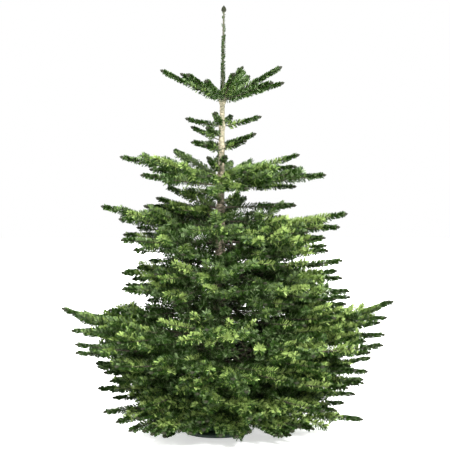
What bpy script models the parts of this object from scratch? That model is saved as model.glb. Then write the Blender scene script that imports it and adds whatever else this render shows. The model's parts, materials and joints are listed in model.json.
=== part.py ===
"""A cut fir for indoors, standing in a plain round stand.

The trunk runs whole from its flat cut to the tip of the leader. Boughs leave it in tiers, and each carries
one fan of needle sprays: a stem, side shoots by a seeded rule, and teeth along every shoot for its needles.
Metres, +Z up. The origin is the middle of the stand's flat underside; +X is to the viewer's right, -Y is
the front of the tree.
"""

import math
import random
from typing import NamedTuple

import bmesh
import bpy
from mathutils import Vector
from mathutils.bvhtree import BVHTree

CLEAR = 0.0003  # the gap that touching pieces keep
UP = Vector((0, 0, 1))

# --- Stand ------------------------------------------------------------------------------------------------
FOOT_RADIUS = 0.135
FOOT_EDGE = 0.012
SLEEVE_BORE = 0.0365  # takes the trimmed butt of the trunk
SLEEVE_RADIUS = 0.050
SLEEVE_TOP = 0.125
SLEEVE_FLOOR = 0.012
RIM_BEAD = 0.004
SKIRT_START = 0.124
SKIRT_STEPS = 4
STAND_SIDES = 24
RIBS = 3
RIB_THICKNESS = 0.007
SCREWS = 3
SCREW_HEIGHT = 0.104
SCREW_RADIUS = 0.0045
KNOB_RADIUS = 0.0125
KNOB_START = 0.064
KNOB_LENGTH = 0.016
FIRST_SCREW = 90  # degrees

# --- Trunk ------------------------------------------------------------------------------------------------
TREE_HEIGHT = 1.795  # floor to the top of the leader
TRUNK_FOOT = SLEEVE_FLOOR + CLEAR
LEADER_BASE = 1.392
TIP_OFFSET = 0.027  # the lean: how far the tip stands off to +X
TRUNK_BOW = 0.004
WOOD_AT_LEADER = 0.0100  # trunk radius just under the leader
WOOD_GAIN = 0.0128  # and how much it gains per metre downwards
ROOT_FLARE = 0.0045
FLARE_HEIGHT = 0.05
NODE_SWELL = 0.0016  # the ring of swollen wood at each tier
NODE_HEIGHT = 0.014
LEADER_RADIUS = 0.0074
LEADER_END_RADIUS = 0.0040
BUD_RADIUS = 0.0072
BUD_LENGTH = 0.026


# --- Tiers ------------------------------------------------------------------------------------------------
class Bough(NamedTuple):
    """One bough: where it points, in degrees anticlockwise from +X seen from above, how far its tip reaches
    from the trunk, the slope of the straight line from foot to tip, and how far above its tier it leaves."""

    azimuth: float
    reach: float
    rise: float
    above: float = 0.0


class Tier(NamedTuple):
    """A ring of boughs of one age. curl is how much the slope gains from foot to tip, bare the length of limb
    without needles, limb whether that length is a piece of its own, and wing the half width of its sprays."""

    name: str
    height: float
    years: int
    curl: float
    bare: float
    limb: bool
    wing: float
    boughs: tuple


TIERS = (
    Tier("tier_1", 1.392, 1, 0.04, 0.012, False, 0.027, (
        Bough(8, 0.249, 30), Bough(68, 0.250, 32), Bough(130, 0.240, 29),
        Bough(181, 0.254, 26), Bough(250, 0.190, 17), Bough(326, 0.243, 13))),
    Tier("tier_2", 1.283, 1, 0.10, 0.012, False, 0.025, (
        Bough(4, 0.160, 14), Bough(180, 0.147, 12), Bough(257, 0.130, 18))),
    Tier("between_2_3", 1.200, 1, 0.06, 0.012, False, 0.025, (
        Bough(350, 0.140, 19), Bough(165, 0.128, 8))),
    Tier("tier_3", 1.065, 3, 0.03, 0.045, False, 0.045, (
        Bough(12, 0.335, 17), Bough(68, 0.333, 14), Bough(128, 0.336, 22), Bough(181, 0.417, 12),
        Bough(345, 0.438, 5, -0.03), Bough(214, 0.38, 5, -0.03), Bough(288, 0.33, -4, -0.03))),
    Tier("between_3_4", 0.945, 2, 0.03, 0.03, False, 0.036, (
        Bough(352, 0.31, 1), Bough(187, 0.31, 0))),
    Tier("tier_4", 0.850, 4, 0.07, 0.06, False, 0.050, (
        Bough(3, 0.531, 7), Bough(100, 0.42, 15), Bough(177, 0.498, 11), Bough(268, 0.42, 2),
        Bough(325, 0.50, 2, -0.05), Bough(48, 0.43, 9, -0.05), Bough(207, 0.44, 1, -0.05))),
    Tier("tier_5", 0.685, 4, 0.09, 0.08, False, 0.052, (
        Bough(15, 0.545, 3), Bough(166, 0.415, -2), Bough(258, 0.47, -2),
        Bough(334, 0.570, -1, -0.07), Bough(92, 0.47, 7, -0.07), Bough(202, 0.42, -1, -0.07))),
    Tier("tier_6", 0.425, 5, 0.26, 0.15, True, 0.055, (
        Bough(3, 0.747, 9), Bough(90, 0.60, 9, 0.04), Bough(176, 0.674, 7.5), Bough(266, 0.60, 1, 0.05))),
    Tier("tier_6_low", 0.355, 4, 0.14, 0.12, False, 0.055, (
        Bough(338, 0.70, 3), Bough(46, 0.64, 5), Bough(136, 0.60, 4), Bough(208, 0.63, 4))),
    Tier("tier_7", 0.275, 4, 0.12, 0.10, False, 0.052, (
        Bough(8, 0.655, 2), Bough(100, 0.52, 1), Bough(167, 0.53, -2), Bough(265, 0.49, -8))),
    Tier("tier_8", 0.185, 4, 0.13, 0.10, False, 0.052, (
        Bough(351, 0.600, -11), Bough(56, 0.46, -6), Bough(128, 0.45, -6), Bough(193, 0.475, -10),
        Bough(235, 0.44, -16), Bough(302, 0.47, -15))),
)

# --- Growth rule ------------------------------------------------------------------------------------------
SIDE_SHARE = 0.64  # a side shoot's length, as a share of what its parent still grows past it
SIDE_LEAST, SIDE_MOST = 0.86, 1.10
SPREAD_LEAST, SPREAD_MOST = 40, 58  # degrees between a side shoot and its parent
ROLLS = (0, 180, 90)  # to one side, to the other, and by turns above and below
ROLL_PLAY = 24
LENGTH_SHARES = (1.0, 1.0, 0.5)
FORWARD_BEND, UPWARD_BEND = 0.30, 0.16
SHORTEST_SHOOT = 0.060
SHORTER = 0.82  # a shoot that leaves its space is tried again at this share
TRIES = 4
SIDE_ORDERS = 1
SECOND_ORDER_FROM = 0.20  # only side shoots this long bear shoots of their own

# --- Sprays -----------------------------------------------------------------------------------------------
TOOTH_PITCH = 1.7  # in half widths of the spray
TOOTH_SWEEP = 0.55  # how far a tooth leans forward, in pitches
TOOTH_ROLLS = (90, 200, 340)  # teeth stand up and to both sides, and are parted below
CORE_ROLLS = (30, 150, 270)
TIP_CELL = 0.45  # the bare tip is this much shorter than the spaces of the teeth
CORE_SHARE = 0.34  # radius of a spray's core beside its half width
TIP_WING = 0.024  # half width of a spray at its tip
STEM_RADIUS_SHARE = 0.0125  # of a bough's reach
LEAST_STEM = 0.0026
ROOM = 0.004  # what masses leave between them
FLOOR_ROOM = 0.030

# --- Limbs of their own -----------------------------------------------------------------------------------
LIMB_FOOT_RADIUS, LIMB_END_RADIUS = 0.0105, 0.0075
LIMB_STEPS = 3

BARK_BROWN = (0.20, 0.15, 0.11)
LIMB_BROWN = (0.16, 0.12, 0.09)
NEEDLE_GREEN = (0.09, 0.19, 0.05)
STAND_GREEN = (0.02, 0.05, 0.035)
STEEL_GREY = (0.45, 0.45, 0.46)


# --- Scene and materials ----------------------------------------------------------------------------------
def clear_scene():
    for old in list(bpy.data.objects):
        bpy.data.objects.remove(old)


def new_collection(name, hidden=False):
    made = bpy.data.collections.new(name)
    made.hide_render = hidden
    bpy.context.scene.collection.children.link(made)
    return made


def new_material(name, colour, roughness, metallic=0.0):
    made = bpy.data.materials.new(name)
    made.use_nodes = True
    shader = made.node_tree.nodes["Principled BSDF"]
    shader.inputs["Base Color"].default_value = (*colour, 1)
    shader.inputs["Roughness"].default_value = roughness
    shader.inputs["Metallic"].default_value = metallic
    return made


def new_object(name, mesh, collection, material=None):
    made = bpy.data.objects.new(name, mesh)
    collection.objects.link(made)
    if material:
        mesh.materials.clear()
        mesh.materials.append(material)
    return made


def new_cutter(name, mesh):
    made = new_object(name, mesh, cutters)
    made.hide_render = True
    made.display_type = "WIRE"
    return made


def evaluated_mesh(obj):
    """The object's mesh with its modifiers applied, or a curve's mesh with its caps welded."""
    bpy.context.view_layer.update()
    graph = bpy.context.evaluated_depsgraph_get()
    mesh = bpy.data.meshes.new_from_object(obj.evaluated_get(graph))
    if obj.type == "CURVE":
        shape = bmesh.new()
        shape.from_mesh(mesh)
        bmesh.ops.remove_doubles(shape, verts=shape.verts, dist=1e-6)
        shape.to_mesh(mesh)
        shape.free()
    return mesh


def apply_modifiers(obj):
    mesh = evaluated_mesh(obj)
    obj.modifiers.clear()
    obj.data = mesh


# --- Trunk and limbs --------------------------------------------------------------------------------------
def trunk_centre(height):
    """The butt stands upright in the sleeve, and the lean and a slight bow start above it."""
    share = max(0.0, height - SLEEVE_TOP) / (TREE_HEIGHT - SLEEVE_TOP)
    return Vector((TIP_OFFSET * share, TRUNK_BOW * math.sin(math.tau * share), height))


def trunk_radius(height):
    """Radius of the wood: a steady taper, a little flare at the cut foot, and a thin leader on top."""
    if height > LEADER_BASE:
        share = (height - LEADER_BASE) / (TREE_HEIGHT - LEADER_BASE)
        return LEADER_RADIUS + (LEADER_END_RADIUS - LEADER_RADIUS) * share
    flare = ROOT_FLARE * max(0.0, 1 - (height - TRUNK_FOOT) / FLARE_HEIGHT) ** 2
    return WOOD_AT_LEADER + WOOD_GAIN * (LEADER_BASE - height) + flare


def trunk_rings():
    """Heights and radii from the cut foot to the bud, with a swelling at every tier."""
    rings = [(TRUNK_FOOT, 0.0), (TRUNK_FOOT + FLARE_HEIGHT / 2, 0.0), (TRUNK_FOOT + FLARE_HEIGHT, 0.0)]
    for tier in reversed(TIERS):
        rings += [(tier.height - 2 * NODE_HEIGHT, 0.0), (tier.height, NODE_SWELL)]
    rings = [(height, trunk_radius(height) + swell) for height, swell in rings]
    rings.append((LEADER_BASE + NODE_HEIGHT, LEADER_RADIUS))
    bud_start = TREE_HEIGHT - BUD_LENGTH
    rings += [(bud_start, LEADER_END_RADIUS), (bud_start + BUD_LENGTH * 0.4, BUD_RADIUS)]
    return rings + [(TREE_HEIGHT, LEADER_END_RADIUS / 2)]


def tube_mesh(name, points, radii, resolution=2):
    """A tapered round limb along points, as a curve with filled caps made into a mesh."""
    curve = bpy.data.curves.new(name, "CURVE")
    curve.dimensions = "3D"
    curve.bevel_depth = 1.0
    curve.bevel_resolution = resolution
    curve.use_fill_caps = True
    spline = curve.splines.new("POLY")
    spline.points.add(len(points) - 1)
    for place, point, radius in zip(spline.points, points, radii):
        place.co = (*point, 1)
        place.radius = radius
    helper = bpy.data.objects.new(name, curve)
    cutters.objects.link(helper)
    mesh = evaluated_mesh(helper)
    bpy.data.objects.remove(helper)
    bpy.data.curves.remove(curve)
    return mesh


def make_trunk():
    rings = trunk_rings()
    points = [trunk_centre(height) for height, _ in rings]
    new_object("trunk", tube_mesh("trunk", points, [r for _, r in rings]), tree, bark)
    return new_cutter("trunk_room", tube_mesh("trunk_room", points, [r + CLEAR for _, r in rings]))


def cut_clear_of_trunk(obj):
    cut = obj.modifiers.new("clear_of_trunk", "BOOLEAN")
    cut.operation = "DIFFERENCE"
    cut.object = trunk_room
    cut.solver = "MANIFOLD"
    apply_modifiers(obj)


# --- Shoots -----------------------------------------------------------------------------------------------
class Shoot(NamedTuple):
    """A shoot's centre line, start + length * (t * heading + t * t / 2 * bend), and its years of growth.
    key names it to the random rule, so that the same shoot always grows the same way."""

    start: Vector
    heading: Vector
    bend: Vector
    length: float
    years: int
    key: str

    def at(self, t):
        return self.start + self.length * (t * self.heading + t * t / 2 * self.bend)

    def direction(self, t):
        return (self.heading + t * self.bend).normalized()


def frame_at(shoot, t):
    """(direction, side, up) of a shoot, its side level with the ground."""
    direction = shoot.direction(t)
    side = direction.cross(UP).normalized()
    return direction, side, side.cross(direction)


def main_shoot(tier, number, bough):
    turn, slope = math.radians(bough.azimuth), math.tan(math.radians(bough.rise))
    outward = Vector((math.cos(turn), math.sin(turn), 0))
    foot = trunk_centre(tier.height + bough.above)
    heading = outward + UP * (slope - tier.curl)
    return Shoot(foot, heading, UP * 2 * tier.curl, bough.reach, tier.years, f"{tier.name}.{number}")


def half_width(wing, t):
    """Half width of a spray along its length: wide over the old wood, and one shoot's width at the tip."""
    return TIP_WING + max(0.0, wing - TIP_WING) * (1 - t) ** 1.4


def around(side, up, roll):
    return side * math.cos(math.radians(roll)) + up * math.sin(math.radians(roll))


def side_shoot(parent, node, place):
    """The shoot at one of the three places round a parent's yearly node."""
    key = f"{parent.key}.{node}.{place}"
    chance = random.Random(key)
    t = node / parent.years
    direction, across, up = frame_at(parent, t)
    spread = math.radians(chance.uniform(SPREAD_LEAST, SPREAD_MOST))
    roll = ROLLS[place] * (-1 if node % 2 else 1) + chance.uniform(-ROLL_PLAY, ROLL_PLAY)
    length = parent.length * (1 - t) * SIDE_SHARE * LENGTH_SHARES[place]
    length *= chance.uniform(SIDE_LEAST, SIDE_MOST)
    heading = direction * math.cos(spread) + around(across, up, roll) * math.sin(spread)
    bend = direction * FORWARD_BEND + UP * UPWARD_BEND
    return Shoot(parent.at(t), heading, bend, length, parent.years - node, key)


def spray_mesh(shoot, start_t, wing, stem, grow_by=0.0):
    """A closed body along the shoot: a three-sided core, and from start_t on a row of forward teeth out of
    each of its sides. grow_by makes it larger all round, for testing the room it needs."""
    teeth = max(2, round((1 - start_t) * shoot.length / (TOOTH_PITCH * wing)))
    places = [start_t + (1 - start_t) * k / (teeth - TIP_CELL) for k in range(teeth)]
    if start_t > 0.0:
        places.insert(0, 0.0)
    shape = bmesh.new()
    rings = []
    for t in places:
        _, side, up = frame_at(shoot, t)
        width = half_width(wing, t)
        radius = stem * (1 - t * 0.5) if t <= start_t else max(stem * (1 - t), width * CORE_SHARE)
        centre = shoot.at(t)
        offsets = [around(side, up, roll) * (radius + grow_by) for roll in CORE_ROLLS]
        rings.append([shape.verts.new(centre + offset) for offset in offsets])
    tip = shape.verts.new(shoot.at(1.0) + shoot.direction(1.0) * grow_by)
    shape.faces.new(rings[0])
    for k, ring in enumerate(rings):
        for face, roll in enumerate(TOOTH_ROLLS):
            one, other = ring[face], ring[(face + 1) % 3]
            if k + 1 == len(rings):
                shape.faces.new((one, other, tip))
                continue
            far, far_other = rings[k + 1][face], rings[k + 1][(face + 1) % 3]
            if places[k] < start_t:
                shape.faces.new((one, other, far_other, far))
                continue
            pitch = places[k + 1] - places[k]
            middle = places[k] + pitch / 2
            direction, side, up = frame_at(shoot, middle)
            width = half_width(wing, middle) + grow_by
            lean = direction * pitch * shoot.length * TOOTH_SWEEP
            point = shape.verts.new(shoot.at(middle) + around(side, up, roll) * width + lean)
            for pair in ((one, other), (other, far_other), (far_other, far), (far, one)):
                shape.faces.new((*pair, point))
    bmesh.ops.recalc_face_normals(shape, faces=shape.faces)
    mesh = bpy.data.meshes.new("spray")
    shape.to_mesh(mesh)
    shape.free()
    return mesh


# --- Each mass keeps to its own space ---------------------------------------------------------------------
def bearings(tier, number):
    """The two bearings, in degrees, half way to the neighbouring boughs of the tier."""
    near = [other for other in tier.boughs if abs(other.above - tier.boughs[number].above) < 0.02]
    own = tier.boughs[number].azimuth
    if len(near) == 1:
        return own - 90, own + 90
    turns = sorted((other.azimuth - own) % 360 for other in near if other is not tier.boughs[number])
    return own - (360 - turns[-1]) / 2, own + turns[0] / 2


def inside(point, start, space, wing):
    """Whether a point with needles of this half width round it lies between the space's two bearings."""
    low, high = (math.radians(bearing) for bearing in space)
    flat = point - start
    past_low = math.cos(low) * flat.y - math.sin(low) * flat.x
    past_high = math.sin(high) * flat.x - math.cos(high) * flat.y
    return min(past_low, past_high) > wing * 0.6 + ROOM and point.z > FLOOR_ROOM


def tree_of(mesh):
    return BVHTree.FromPolygons([v.co for v in mesh.vertices], [tuple(p.vertices) for p in mesh.polygons])


def touches_others(mesh, name):
    own = tree_of(mesh)
    return any(own.overlap(other) for owner, others in grown.items() if owner != name for other in others)


def fitted(shoot, name, start, space, wing, stem):
    """The side shoot, shortened until it keeps to its space and touches no other mass, or None."""
    for _ in range(TRIES):
        if shoot.length < SHORTEST_SHOOT:
            return None
        room = spray_mesh(shoot, 0.0, wing, stem, ROOM)
        points_in = all(inside(shoot.at(t), start, space, wing) for t in (0.5, 1.0))
        clear = points_in and not touches_others(room, name)
        bpy.data.meshes.remove(room)
        if clear:
            return shoot
        shoot = shoot._replace(length=shoot.length * SHORTER)
    return None


def side_shoots(parent, name, start, space, wing, stem, from_t, order=1):
    """Every side shoot that finds room, each followed by its own. The youngest node bears only a pair."""
    for node in range(1, parent.years):
        if node / parent.years < from_t:
            continue
        for place in range(len(ROLLS) - (node == parent.years - 1)):
            shoot = fitted(side_shoot(parent, node, place), name, start, space, wing, stem)
            if shoot is None:
                continue
            yield shoot
            if order < SIDE_ORDERS and shoot.length > SECOND_ORDER_FROM:
                yield from side_shoots(shoot, name, start, space, wing, stem * 0.7, 0.0, order + 1)


def fuse(name, meshes, material):
    """One closed body from overlapping ones."""
    pieces = new_collection(name + "_pieces", hidden=True)
    for mesh in meshes[1:]:
        new_object(name + "_piece", mesh, pieces)
    made = new_object(name, meshes[0], tree, material)
    if len(meshes) > 1:
        join = made.modifiers.new("fuse", "BOOLEAN")
        join.operation = "UNION"
        join.operand_type = "COLLECTION"
        join.collection = pieces
        join.solver = "MANIFOLD"
        apply_modifiers(made)
    for piece in list(pieces.objects):
        bpy.data.objects.remove(piece)
    bpy.data.collections.remove(pieces)
    made.data.materials.clear()
    made.data.materials.append(material)
    return made


def from_t_on(shoot, t):
    """The rest of a shoot from t on, as a shoot of its own. Its nodes stay with the whole shoot."""
    heading = (shoot.heading + t * shoot.bend) * (1 - t)
    return shoot._replace(start=shoot.at(t), heading=heading, bend=shoot.bend * (1 - t) ** 2)


def make_limb(name, shoot, end_t):
    """The bare foot of a main bough, from the trunk to where its needles start."""
    shares = [k / LIMB_STEPS for k in range(LIMB_STEPS + 1)]
    points = [shoot.at(end_t * share) for share in shares]
    radii = [LIMB_FOOT_RADIUS + (LIMB_END_RADIUS - LIMB_FOOT_RADIUS) * share for share in shares]
    limb = new_object(name, tube_mesh(name, points, radii, 1), tree, limb_wood)
    cut_clear_of_trunk(limb)
    return limb


class Growth(NamedTuple):
    """A mass about to grow: its main shoot, the spray along that, and where its bare foot ends."""

    name: str
    tier: Tier
    space: tuple
    shoot: Shoot
    stem: float
    bare_t: float
    spray: object


def plan_bough(tier, number):
    """The main shoot of a bough and its spray, with a limb before it where the tier has limbs."""
    bough = tier.boughs[number]
    letter = "abcdefgh"[number]
    shoot = main_shoot(tier, number, bough)
    stem = max(LEAST_STEM, STEM_RADIUS_SHARE * bough.reach)
    bare_t = (tier.bare + trunk_radius(shoot.start.z)) / bough.reach
    if tier.limb:
        limb = make_limb(f"bough_{tier.name}_{letter}", shoot, bare_t)
        grown[limb.name] = [tree_of(limb.data)]
        stem = min(stem, LIMB_END_RADIUS)
        spray = spray_mesh(from_t_on(shoot, bare_t + CLEAR / bough.reach), 0.02, tier.wing, stem)
    else:
        spray = spray_mesh(shoot, bare_t, tier.wing, stem)
    name = f"foliage_{tier.name}_{letter}"
    grown[name] = [tree_of(spray)]
    return Growth(name, tier, bearings(tier, number), shoot, stem, bare_t, spray)


def make_mass(plan):
    """All the sprays of one bough, fused, with its stem ending just clear of what carries it."""
    stem, wing = plan.stem * 0.6, plan.tier.wing
    sides = side_shoots(plan.shoot, plan.name, plan.shoot.start, plan.space, wing, stem, plan.bare_t)
    meshes = [plan.spray]
    for side in sides:
        meshes.append(spray_mesh(side, 0.0, wing, stem))
        grown[plan.name].append(tree_of(meshes[-1]))
    mass = fuse(plan.name, meshes, needles)
    if not plan.tier.limb:
        cut_clear_of_trunk(mass)


# --- Stand ------------------------------------------------------------------------------------------------
def turned(name, profile, sides, collection, material):
    """A solid of revolution about Z from (radius, height) points that start and end on the axis."""
    mesh = bpy.data.meshes.new(name)
    corners = [(radius, 0, height) for radius, height in profile]
    mesh.from_pydata(corners, [(k, k + 1) for k in range(len(corners) - 1)], [])
    made = new_object(name, mesh, collection, material)
    screw = made.modifiers.new("turn", "SCREW")
    screw.steps = screw.render_steps = sides
    screw.use_merge_vertices = True
    screw.merge_threshold = 1e-5
    apply_modifiers(made)
    return made


def skirt_height(share):
    """The concave skirt between the foot's edge (0) and the sleeve (1)."""
    return FOOT_EDGE + 0.006 + (SLEEVE_TOP * 0.66 - FOOT_EDGE) * share**2.2


def stand_profile():
    """From the top of the bore's floor, up the bore, over the rim, down the skirt and under the foot."""
    skirt = [
        (SLEEVE_RADIUS + (SKIRT_START - SLEEVE_RADIUS) * (1 - k / SKIRT_STEPS), skirt_height(k / SKIRT_STEPS))
        for k in range(SKIRT_STEPS, -1, -1)
    ]
    rim = [
        (SLEEVE_BORE, SLEEVE_TOP),
        (SLEEVE_RADIUS + RIM_BEAD, SLEEVE_TOP),
        (SLEEVE_RADIUS + RIM_BEAD, SLEEVE_TOP - 2 * RIM_BEAD),
        (SLEEVE_RADIUS, SLEEVE_TOP - 3 * RIM_BEAD),
    ]
    foot = [(FOOT_RADIUS, FOOT_EDGE), (FOOT_RADIUS, 0.0), (0.0, 0.0)]
    return [(0.0, SLEEVE_FLOOR), (SLEEVE_BORE, SLEEVE_FLOOR)] + rim + skirt + foot


def rib_mesh():
    """A web that stiffens the sleeve: a triangle standing on the skirt, run well into both."""
    shape = bmesh.new()
    inner, outer = SLEEVE_RADIUS - 0.006, SKIRT_START - 0.008
    top, low = SLEEVE_TOP - 4 * RIM_BEAD, skirt_height(0.0) - 0.004
    corners = [(inner, low), (outer, low), (outer, low + 0.012), (inner + 0.012, top), (inner, top)]
    half = RIB_THICKNESS / 2
    faces = [[shape.verts.new((x, y, z)) for x, z in corners] for y in (-half, half)]
    for face in faces:
        shape.faces.new(face)
    for k in range(len(corners)):
        after = (k + 1) % len(corners)
        shape.faces.new((faces[0][k], faces[0][after], faces[1][after], faces[1][k]))
    bmesh.ops.recalc_face_normals(shape, faces=shape.faces)
    mesh = bpy.data.meshes.new("rib")
    shape.to_mesh(mesh)
    shape.free()
    return mesh


def screw_turn(number):
    return math.radians(FIRST_SCREW + 360 * number / SCREWS)


def place_radially(obj, turn, height):
    """Lays a piece turned about Z along the radius at this bearing, its top outwards."""
    obj.rotation_euler = (0, math.pi / 2, turn)
    obj.location = (0, 0, height)


def screw_bore(number):
    mesh = bpy.data.meshes.new("screw_bore")
    shape = bmesh.new()
    length, radius = SLEEVE_RADIUS + 0.03, SCREW_RADIUS + CLEAR
    bmesh.ops.create_cone(shape, cap_ends=True, segments=16, radius1=radius, radius2=radius, depth=length)
    bmesh.ops.translate(shape, verts=shape.verts, vec=(0, 0, length / 2))
    shape.to_mesh(mesh)
    shape.free()
    cutter = new_cutter(f"screw_bore_{number}", mesh)
    place_radially(cutter, screw_turn(number), SCREW_HEIGHT)
    return cutter


def make_stand():
    base = turned("stand_base", stand_profile(), STAND_SIDES, tree, stand_plastic)
    ribs = new_collection("ribs", hidden=True)
    for number in range(RIBS):
        rib = new_object("rib", rib_mesh(), ribs)
        rib.rotation_euler = (0, 0, math.radians(FIRST_SCREW + 30 + 360 * number / RIBS))
    join = base.modifiers.new("ribs", "BOOLEAN")
    join.operation = "UNION"
    join.operand_type = "COLLECTION"
    join.collection = ribs
    join.solver = "MANIFOLD"
    apply_modifiers(base)
    for rib in list(ribs.objects):
        bpy.data.objects.remove(rib)
    bpy.data.collections.remove(ribs)
    for number in range(SCREWS):
        bore = base.modifiers.new("bore", "BOOLEAN")
        bore.operation = "DIFFERENCE"
        bore.object = screw_bore(number)
        bore.solver = "MANIFOLD"
    apply_modifiers(base)
    return base


def make_screws():
    knob_end = KNOB_START + KNOB_LENGTH
    profile = [
        (0.0, knob_end), (KNOB_RADIUS * 0.8, knob_end), (KNOB_RADIUS, knob_end - 0.003),
        (KNOB_RADIUS, KNOB_START + 0.003), (KNOB_RADIUS * 0.6, KNOB_START), (SCREW_RADIUS, KNOB_START),
        (SCREW_RADIUS, WOOD_AT_LEADER), (0.0, WOOD_AT_LEADER),
    ]
    for number in range(SCREWS):
        screw = turned(f"stand_screw_{number + 1}", profile, 8, tree, steel)
        place_radially(screw, screw_turn(number), SCREW_HEIGHT)
        screw.data.transform(screw.matrix_basis)
        screw.matrix_basis.identity()
        cut_clear_of_trunk(screw)


clear_scene()
tree = new_collection("fir_tree")
cutters = new_collection("cutters")
bark = new_material("bark", BARK_BROWN, 0.85)
limb_wood = new_material("limb_wood", LIMB_BROWN, 0.85)
needles = new_material("needles", NEEDLE_GREEN, 0.55)
stand_plastic = new_material("stand_plastic", STAND_GREEN, 0.45)
steel = new_material("steel", STEEL_GREY, 0.35, 1.0)

trunk_room = make_trunk()
stand = make_stand()
make_screws()

# What is there so far, for the room that the next sprays leave. Main shoots come first, then side shoots.
grown = {"trunk": [tree_of(trunk_room.data)], "stand": [tree_of(stand.data)]}
plans = [plan_bough(tier, number) for tier in TIERS for number in range(len(tier.boughs))]
for plan in plans:
    make_mass(plan)
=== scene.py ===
# %% [markdown]
# # A cut fir in a plain stand
# This lesson dresses a fir for indoors, 1.8 m tall. The solids that physics uses are loaded first and stay
# where they are. The trunk and limbs then get bark, and every mass of foliage is grown again, shoot by
# shoot, by the rule that shaped its solid, only finer. Needles, twigs and buds follow the shoots by
# Geometry Nodes, and the stand is turned, ribbed and given its screws.

# %% Load the solids
import json
import math
import random
from typing import NamedTuple

import bmesh
import bpy
from mathutils import Matrix, Vector, noise
from mathutils.bvhtree import BVHTree

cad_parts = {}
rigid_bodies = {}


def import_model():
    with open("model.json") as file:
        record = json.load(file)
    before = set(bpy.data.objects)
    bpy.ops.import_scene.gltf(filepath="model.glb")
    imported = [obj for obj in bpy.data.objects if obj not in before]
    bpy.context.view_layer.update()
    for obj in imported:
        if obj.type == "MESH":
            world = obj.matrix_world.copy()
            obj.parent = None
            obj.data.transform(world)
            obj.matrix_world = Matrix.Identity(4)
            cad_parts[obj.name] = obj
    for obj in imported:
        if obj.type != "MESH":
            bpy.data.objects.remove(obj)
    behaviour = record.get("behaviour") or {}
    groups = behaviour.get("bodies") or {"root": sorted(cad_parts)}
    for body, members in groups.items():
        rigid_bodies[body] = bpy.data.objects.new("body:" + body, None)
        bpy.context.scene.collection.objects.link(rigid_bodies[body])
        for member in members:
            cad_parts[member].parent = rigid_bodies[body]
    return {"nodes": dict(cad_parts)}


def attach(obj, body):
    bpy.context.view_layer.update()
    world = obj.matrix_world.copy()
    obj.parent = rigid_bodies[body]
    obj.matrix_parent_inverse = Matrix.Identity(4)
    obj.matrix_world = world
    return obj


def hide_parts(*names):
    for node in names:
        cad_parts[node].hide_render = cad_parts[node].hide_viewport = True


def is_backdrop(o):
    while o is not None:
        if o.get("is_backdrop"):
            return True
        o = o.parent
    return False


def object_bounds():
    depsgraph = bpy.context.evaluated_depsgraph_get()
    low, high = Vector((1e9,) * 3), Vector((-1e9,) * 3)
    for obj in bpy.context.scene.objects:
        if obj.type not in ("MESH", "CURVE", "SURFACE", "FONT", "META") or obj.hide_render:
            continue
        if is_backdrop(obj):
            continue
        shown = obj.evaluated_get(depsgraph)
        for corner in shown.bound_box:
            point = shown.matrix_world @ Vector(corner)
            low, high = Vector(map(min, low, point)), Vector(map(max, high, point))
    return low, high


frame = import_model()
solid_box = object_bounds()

UP = Vector((0, 0, 1))
print(f"{len(frame['nodes'])} solids, {solid_box[1][2] - solid_box[0][2]:.3f} m tall")

# %% [markdown]
# ## Small helpers
# A finished piece is a plain mesh at the origin that rides on the one body. A material starts as a
# Principled shader whose constants sit on its own sockets. `add` makes one node and `fill` gives its inputs,
# by name or by number, a value or another node's output, so that a node tree reads from top to bottom.


# %% Helpers for pieces, materials and node trees
def placed(name, data, collection=None):
    """A new object, in the scene's own collection or in the one given."""
    made = bpy.data.objects.new(name, data)
    (collection or bpy.context.scene.collection).objects.link(made)
    return made


def fill(tree, node, inputs):
    shown = [socket for socket in node.inputs if socket.enabled]
    for key, value in inputs.items():
        socket = shown[key] if isinstance(key, int) else next(s for s in shown if s.name == key)
        if isinstance(value, bpy.types.Node):
            value = next(out for out in value.outputs if out.enabled)
        if isinstance(value, bpy.types.NodeSocket):
            tree.links.new(value, socket)
        else:
            socket.default_value = value
    return node


def add(tree, kind, inputs=None, **settings):
    """The settings come first, because they decide which inputs the node shows."""
    node = tree.nodes.new(kind)
    for key, value in settings.items():
        setattr(node, key, value)
    return fill(tree, node, inputs or {})


def new_material(name, colour, roughness, **constants):
    made = bpy.data.materials.new(name)
    made.use_nodes = True
    shader = made.node_tree.nodes["Principled BSDF"]
    shader.inputs["Base Color"].default_value = (*colour, 1)
    shader.inputs["Roughness"].default_value = roughness
    for key, value in constants.items():
        shader.inputs[key.replace("_", " ")].default_value = value
    return made


def new_piece(name, mesh, materials=(), replaced=()):
    piece = placed(name, mesh)
    for material in materials:
        mesh.materials.append(material)
    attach(piece, "root")
    if replaced:
        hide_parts(*replaced)
    print(f"{name}: {sum(len(face.vertices) - 2 for face in mesh.polygons)} triangles")
    return piece


def evaluated_mesh(obj):
    bpy.context.view_layer.update()
    graph = bpy.context.evaluated_depsgraph_get()
    return bpy.data.meshes.new_from_object(obj.evaluated_get(graph))


# %% Helpers for places
def spaced(low, high, parts):
    """Evenly spaced numbers, both ends among them."""
    return [low + (high - low) * k / parts for k in range(parts + 1)]


def turns(count):
    """Evenly spaced angles, once around."""
    return [math.tau * k / count for k in range(count)]


def about_axis(radius, turn, height=0.0):
    return Vector((radius * math.cos(turn), radius * math.sin(turn), height))


# %% [markdown]
# ## The growth rule
# A fir adds one length of shoot each year. Where one year's length ends, a pair of shoots spreads to the
# sides and a shorter one rises or droops, turn about, so a bough of five years is a flat fan with a little
# depth. A shoot is a short curve: a start, a heading, a bend and a length. The random numbers are seeded
# with the shoot's own name, so each shoot grows the same way whatever is grown before it.

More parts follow.
